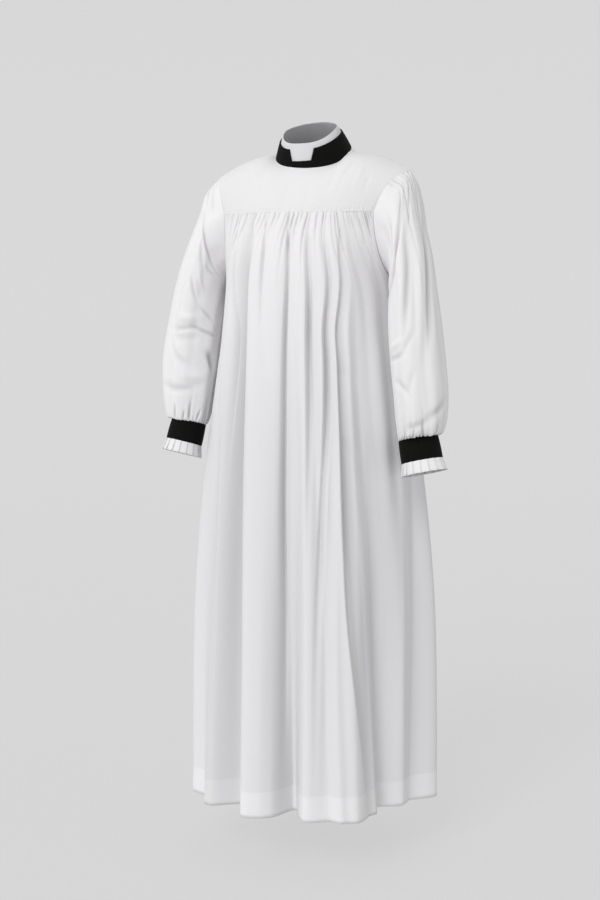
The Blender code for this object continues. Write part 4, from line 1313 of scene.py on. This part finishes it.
def cotton(name, plain, mottle_and_groove_colour, settings, thread, weave_height, crumple, sheen, gloss, twill=False):
    """A woven cotton finish. plain gives the cloth's colour from the shader and its position."""
    shader = Shader(name)
    uv = shader.place("UV")
    position = shader.place("Object")
    across, down, _ = shader.split(uv)
    stitch = shader.layer("stitch")
    valley = shader.layer("valley")
    turn = FULL_TURN / thread
    if twill:
        weave = ((across + down) * turn).sine()
    else:
        weave = (across * turn).sine() * (down * turn).sine()
    slubs = shader.noise(shader.stretched(uv, (90.0, 1400.0, 1.0)), 1.0)
    slubs = slubs + shader.noise(shader.stretched(uv, (1400.0, 90.0, 1.0)), 1.0)
    fine = shader.noise(shader.stretched(position, (1.0, 1.0, 0.45)), 95.0, 3.0)
    soft = shader.noise(shader.stretched(position, (1.0, 1.0, 0.55)), 24.0, 2.0)
    thread_row = 1.0 - stitch.ramp(*STITCH_THREAD)
    gaps = (across * (FULL_TURN / STITCH_LENGTH)).sine().ramp(-0.85, -0.45)
    stitches = thread_row * gaps
    groove = 1.0 - stitch.ramp(*STITCH_GROOVE)
    height = weave * weave_height + slubs * (0.8 * weave_height)
    height = height + fine * (crumple * 0.30) + soft * crumple
    height = height + stitches * 0.00022 - groove * 0.00016
    normal = shader.node("ShaderNodeBump", {"Strength": 1.0, "Distance": 1.0, "Height": height})
    base = plain(shader, position)
    share = (soft * 0.9 + slubs * 0.35 + weave * 0.10).ramp(-0.75, 0.75)
    # Random mottle, and in the white cloth painted shade in the grooves beside the stitches; in the
    # black cloth the grooves take lint.
    base = shader.mix(share * 0.10 + groove * 0.10, base, colour(mottle_and_groove_colour))
    # Painted shade: the cloth is greyed towards two thirds of its white where it lies deep in a fold.
    base = shader.mix(valley * 0.85, base, colour([part * 0.66 for part in settings.white]))
    roughness = settings.roughness + fine * 0.06
    return shader.finished({
        "Base Color": base,
        "Roughness": roughness,
        "Normal": normal,
        "Specular IOR Level": gloss,
        "Sheen Weight": sheen,
        "Sheen Roughness": 0.5,
    })


def panel_colour(settings):
    """A colour that grows duller down the single cloth, and is bright again on the hem."""

    def plain(shader, position):
        height = shader.split(position)[2]
        low = height.ramp(-0.15, -0.62)
        hem = height.ramp(HEM_Z + HEM_DEPTH + 0.0008, HEM_Z + HEM_DEPTH - 0.0008)
        body = shader.mix(low, colour(settings.white), colour(settings.skirt))
        return shader.mix(hem, body, colour(settings.hem))

    return plain


def one_colour(values):
    """One colour all over, which grows 2% lighter towards the neck."""

    def plain(shader, position):
        height = shader.split(position)[2]
        lighter = [min(1.0, part * 1.02) for part in values]
        return shader.mix(height.ramp(-0.6, 0.1), colour(values), colour(lighter))

    return plain


def white_finish(name, settings, plain, crumple=0.00045):
    """White cotton lawn."""
    # A darker white, for the random mottle and for the painted shade in the stitch grooves.
    mottle_and_groove_colour = [part * 0.80 for part in settings.white]
    return cotton(
        name, plain, mottle_and_groove_colour, settings, thread=0.00042, weave_height=0.000010, crumple=crumple,
        sheen=0.12, gloss=0.18,
    )


def black_finish(name, settings):
    """Black cotton twill."""
    lint = [part * 2.2 for part in settings.black]
    plain = one_colour(settings.black)
    return cotton(
        name, plain, lint, settings, thread=0.00075, weave_height=0.000020, crumple=0.00018,
        sheen=0.01, gloss=0.10, twill=True,
    )


class ROCHET_OT_yokes(bpy.types.Operator):
    """Makes the front and back yokes"""

    bl_idname = "rochet.make_yokes"
    bl_label = "Yokes"

    def execute(self, context):
        settings = context.scene.rochet_cloth
        # The yokes' colour carries painted shade against the light on their tops.
        finish = white_finish("yoke_cotton", settings, one_colour(settings.yoke), 0.00030)
        tables = {"front_yoke": FRONT_YOKE_WRINKLES, "back_yoke": BACK_YOKE_WRINKLES}
        for name, panel in (("front_yoke", FRONT), ("back_yoke", BACK)):
            shape = yoke_shape(panel, *YOKE_GRID, tables[name])
            dress(name, shape, finish)
        return {"FINISHED"}


class ROCHET_OT_panels(bpy.types.Operator):
    """Makes the gathered front and back panels with their folds and hems"""

    bl_idname = "rochet.make_panels"
    bl_label = "Panels"

    def execute(self, context):
        gathers = context.scene.rochet_gathers
        settings = context.scene.rochet_cloth
        finish = white_finish("panel_cotton", settings, panel_colour(settings))
        rows = (
            ("front_panel", FRONT, FRONT_GRID, gathers.front),
            ("back_panel", BACK, BACK_GRID, gathers.back),
        )
        for name, panel, grid, count in rows:
            shape = panel.shape(*grid, count, gathers)
            dress(name, shape, finish)
        return {"FINISHED"}


class ROCHET_OT_sleeves(bpy.types.Operator):
    """Makes the two sleeves with their gathers and creases"""

    bl_idname = "rochet.make_sleeves"
    bl_label = "Sleeves"

    def execute(self, context):
        settings = context.scene.rochet_cloth
        sleeves = context.scene.rochet_sleeves
        finish = white_finish("sleeve_cotton", settings, one_colour(settings.white))
        rows = (
            ("sleeve_left", LEFT_RINGS, LEFT_BENDS, LEFT_SLEEVE_CREASES, LEFT_WRIST, 31),
            ("sleeve_right", RIGHT_RINGS, RIGHT_BENDS, RIGHT_SLEEVE_CREASES, RIGHT_WRIST, 47),
        )
        for name, rings, bends, creases, wrist, seed in rows:
            shape = sleeve_shape(rings, bends, creases, wrist, sleeves, seed)
            dress(
                name, shape, finish,
                tube=True,
            )
        return {"FINISHED"}


class ROCHET_OT_bands(bpy.types.Operator):
    """Makes the black wristbands and their white frills"""

    bl_idname = "rochet.make_bands"
    bl_label = "Wristbands and frills"

    def execute(self, context):
        settings = context.scene.rochet_cloth
        bands = context.scene.rochet_bands
        black = black_finish("band_cotton", settings)
        white = white_finish("frill_cotton", settings, one_colour(settings.white), 0.00006)
        for side, wrist in (("left", LEFT_WRIST), ("right", RIGHT_WRIST)):
            dress(
                "wristband_" + side, wristband_shape(wrist, bands), black,
                tube=True, closed=True,
            )
            dress(
                "frill_" + side, frill_shape(wrist, bands), white,
                tube=True,
            )
        return {"FINISHED"}


class ROCHET_OT_collar(bpy.types.Operator):
    """Makes the black notched collar and the white neckband inside it"""

    bl_idname = "rochet.make_collar"
    bl_label = "Collar and neckband"

    def execute(self, context):
        settings = context.scene.rochet_cloth
        collar = context.scene.rochet_collar
        cloth = context.scene.rochet_bands.cloth
        black = black_finish("collar_cotton", settings)
        # The neckband's finish carries its painted chin shadow.
        white = white_finish("neckband_cotton", settings, one_colour(settings.neckband), 0.00015)
        dress(
            "collar_band", collar_shape(collar, cloth), black,
            tube=True, closed=True, name="collar",
        )
        dress(
            "neck_band", neck_band_shape(collar, cloth), white,
            tube=True, closed=True, name="neckband",
        )
        return {"FINISHED"}


class ROCHET_OT_stage(bpy.types.Operator):
    """Makes the floor and backdrop, the soft lights and the camera"""

    bl_idname = "rochet.make_stage"
    bl_label = "Stage"

    def execute(self, context):
        settings = context.scene.rochet_stage
        make_backdrop(settings)
        make_lights(context.scene, settings)
        make_camera(context.scene, settings)
        context.scene.view_settings.view_transform = "Standard"
        return {"FINISHED"}


def make_backdrop(settings):
    """A floor that curves up into a wall behind the gown, square to the camera."""
    sheet = bmesh.new()
    bmesh.ops.create_grid(sheet, x_segments=24, y_segments=72, size=1)
    arc = BACKDROP_BEND * math.pi / 2
    bend_start = BACKDROP_WALL_Y - BACKDROP_BEND
    for vertex in sheet.verts:
        run = (vertex.co.y + 1) / 2 * BACKDROP_RUN - BACKDROP_NEAR
        beyond = run - bend_start
        turn = min(max(beyond, 0.0), arc) / BACKDROP_BEND
        y = min(run, bend_start) + BACKDROP_BEND * math.sin(turn)
        z = BACKDROP_BEND * (1 - math.cos(turn)) + max(beyond - arc, 0.0)
        vertex.co = (vertex.co.x * BACKDROP_HALF_WIDTH, y, settings.floor_z + z)
    bmesh.ops.rotate(
        sheet, verts=sheet.verts[:], cent=(0, 0, 0), matrix=Matrix.Rotation(settings.azimuth, 3, "Z")
    )
    backdrop = meshed("backdrop", sheet)
    shader = Shader("backdrop_paper")
    grain = shader.noise(shader.place("Object"), 1.3, 2.0).ramp(-0.5, 0.5)
    darker = [part * 0.985 for part in settings.backdrop]
    paper = shader.finished({
        "Base Color": shader.mix(grain, colour(darker), colour(settings.backdrop)),
        "Roughness": 0.95,
        "Specular IOR Level": 0.1,
        "Emission Color": (1.0, 1.0, 1.0, 1.0),
        "Emission Strength": settings.glow,
    })
    backdrop.data.materials.append(paper)


def towards(azimuth, left, front, up):
    """A direction from the gown, given as the camera sees it."""
    to_camera = Vector((math.sin(azimuth), -math.cos(azimuth), 0.0))
    to_left = Vector((-math.cos(azimuth), -math.sin(azimuth), 0.0))
    return (to_left * left + to_camera * front + Vector((0, 0, up))).normalized()


def make_lights(scene, settings):
    """A large soft light over the camera, weak ones at its sides, and the light of the room."""
    azimuth = settings.azimuth
    rows = (
        ("key", towards(azimuth, 0.44, 0.90, 0.75), settings.key, 32),
        ("side", towards(azimuth, 0.98, 0.05, 0.30), settings.side, 60),
        ("fill", towards(azimuth, -0.90, 0.50, 0.20), settings.fill, 70),
    )
    for name, direction, strength, degrees in rows:
        data = bpy.data.lights.new(name + "_light", "SUN")
        data.energy = strength
        data.angle = math.radians(degrees)
        light = placed(name + "_light", data)
        light.rotation_euler = direction.to_track_quat("Z", "Y").to_euler()
        light.location = direction * LIGHT_DISTANCE
    world = bpy.data.worlds.new("studio")
    world.use_nodes = True
    inputs = world.node_tree.nodes["Background"].inputs
    inputs["Color"].default_value = (1.0, 1.0, 1.0, 1.0)
    inputs["Strength"].default_value = settings.room
    scene.world = world


def make_camera(scene, settings):
    """The camera where the photo was taken from."""
    data = bpy.data.cameras.new("camera")
    data.lens = settings.lens
    data.sensor_width = 36
    camera = placed("camera", data)
    angle = settings.azimuth
    distance = settings.distance
    camera.location = (distance * math.sin(angle), -distance * math.cos(angle), settings.height)
    camera.rotation_euler = (math.pi / 2 - settings.down, 0, angle + settings.aim_left)
    scene.camera = camera


OPERATORS = (
    ROCHET_OT_yokes,
    ROCHET_OT_panels,
    ROCHET_OT_sleeves,
    ROCHET_OT_bands,
    ROCHET_OT_collar,
    ROCHET_OT_stage,
)


class ROCHET_PT_sidebar(bpy.types.Panel):
    """The sizes and colours of the rochet, and its operators"""

    bl_idname = "ROCHET_PT_sidebar"
    bl_label = "Rochet"
    bl_space_type = "VIEW_3D"
    bl_region_type = "UI"
    bl_category = "Rochet"

    def draw(self, context):
        layout = self.layout
        for name, group in SETTINGS.items():
            box = layout.box()
            for prop in group.__annotations__:
                box.prop(getattr(context.scene, name), prop)
        for operator in OPERATORS:
            layout.operator(operator.bl_idname)


CLASSES = (*SETTINGS.values(), *OPERATORS, ROCHET_PT_sidebar)


def register():
    """Adds the settings, the operators and the sidebar."""
    for cls in CLASSES:
        bpy.utils.register_class(cls)
    for name, group in SETTINGS.items():
        setattr(bpy.types.Scene, name, PointerProperty(type=group))


def unregister():
    """Takes them away again."""
    for name in SETTINGS:
        delattr(bpy.types.Scene, name)
    for cls in reversed(CLASSES):
        bpy.utils.unregister_class(cls)


def main():
    """Makes the pieces and the stage."""
    register()
    bpy.ops.rochet.make_yokes()
    bpy.ops.rochet.make_panels()
    bpy.ops.rochet.make_sleeves()
    bpy.ops.rochet.make_bands()
    bpy.ops.rochet.make_collar()
    bpy.ops.rochet.make_stage()


if __name__ == "__main__":
    main()
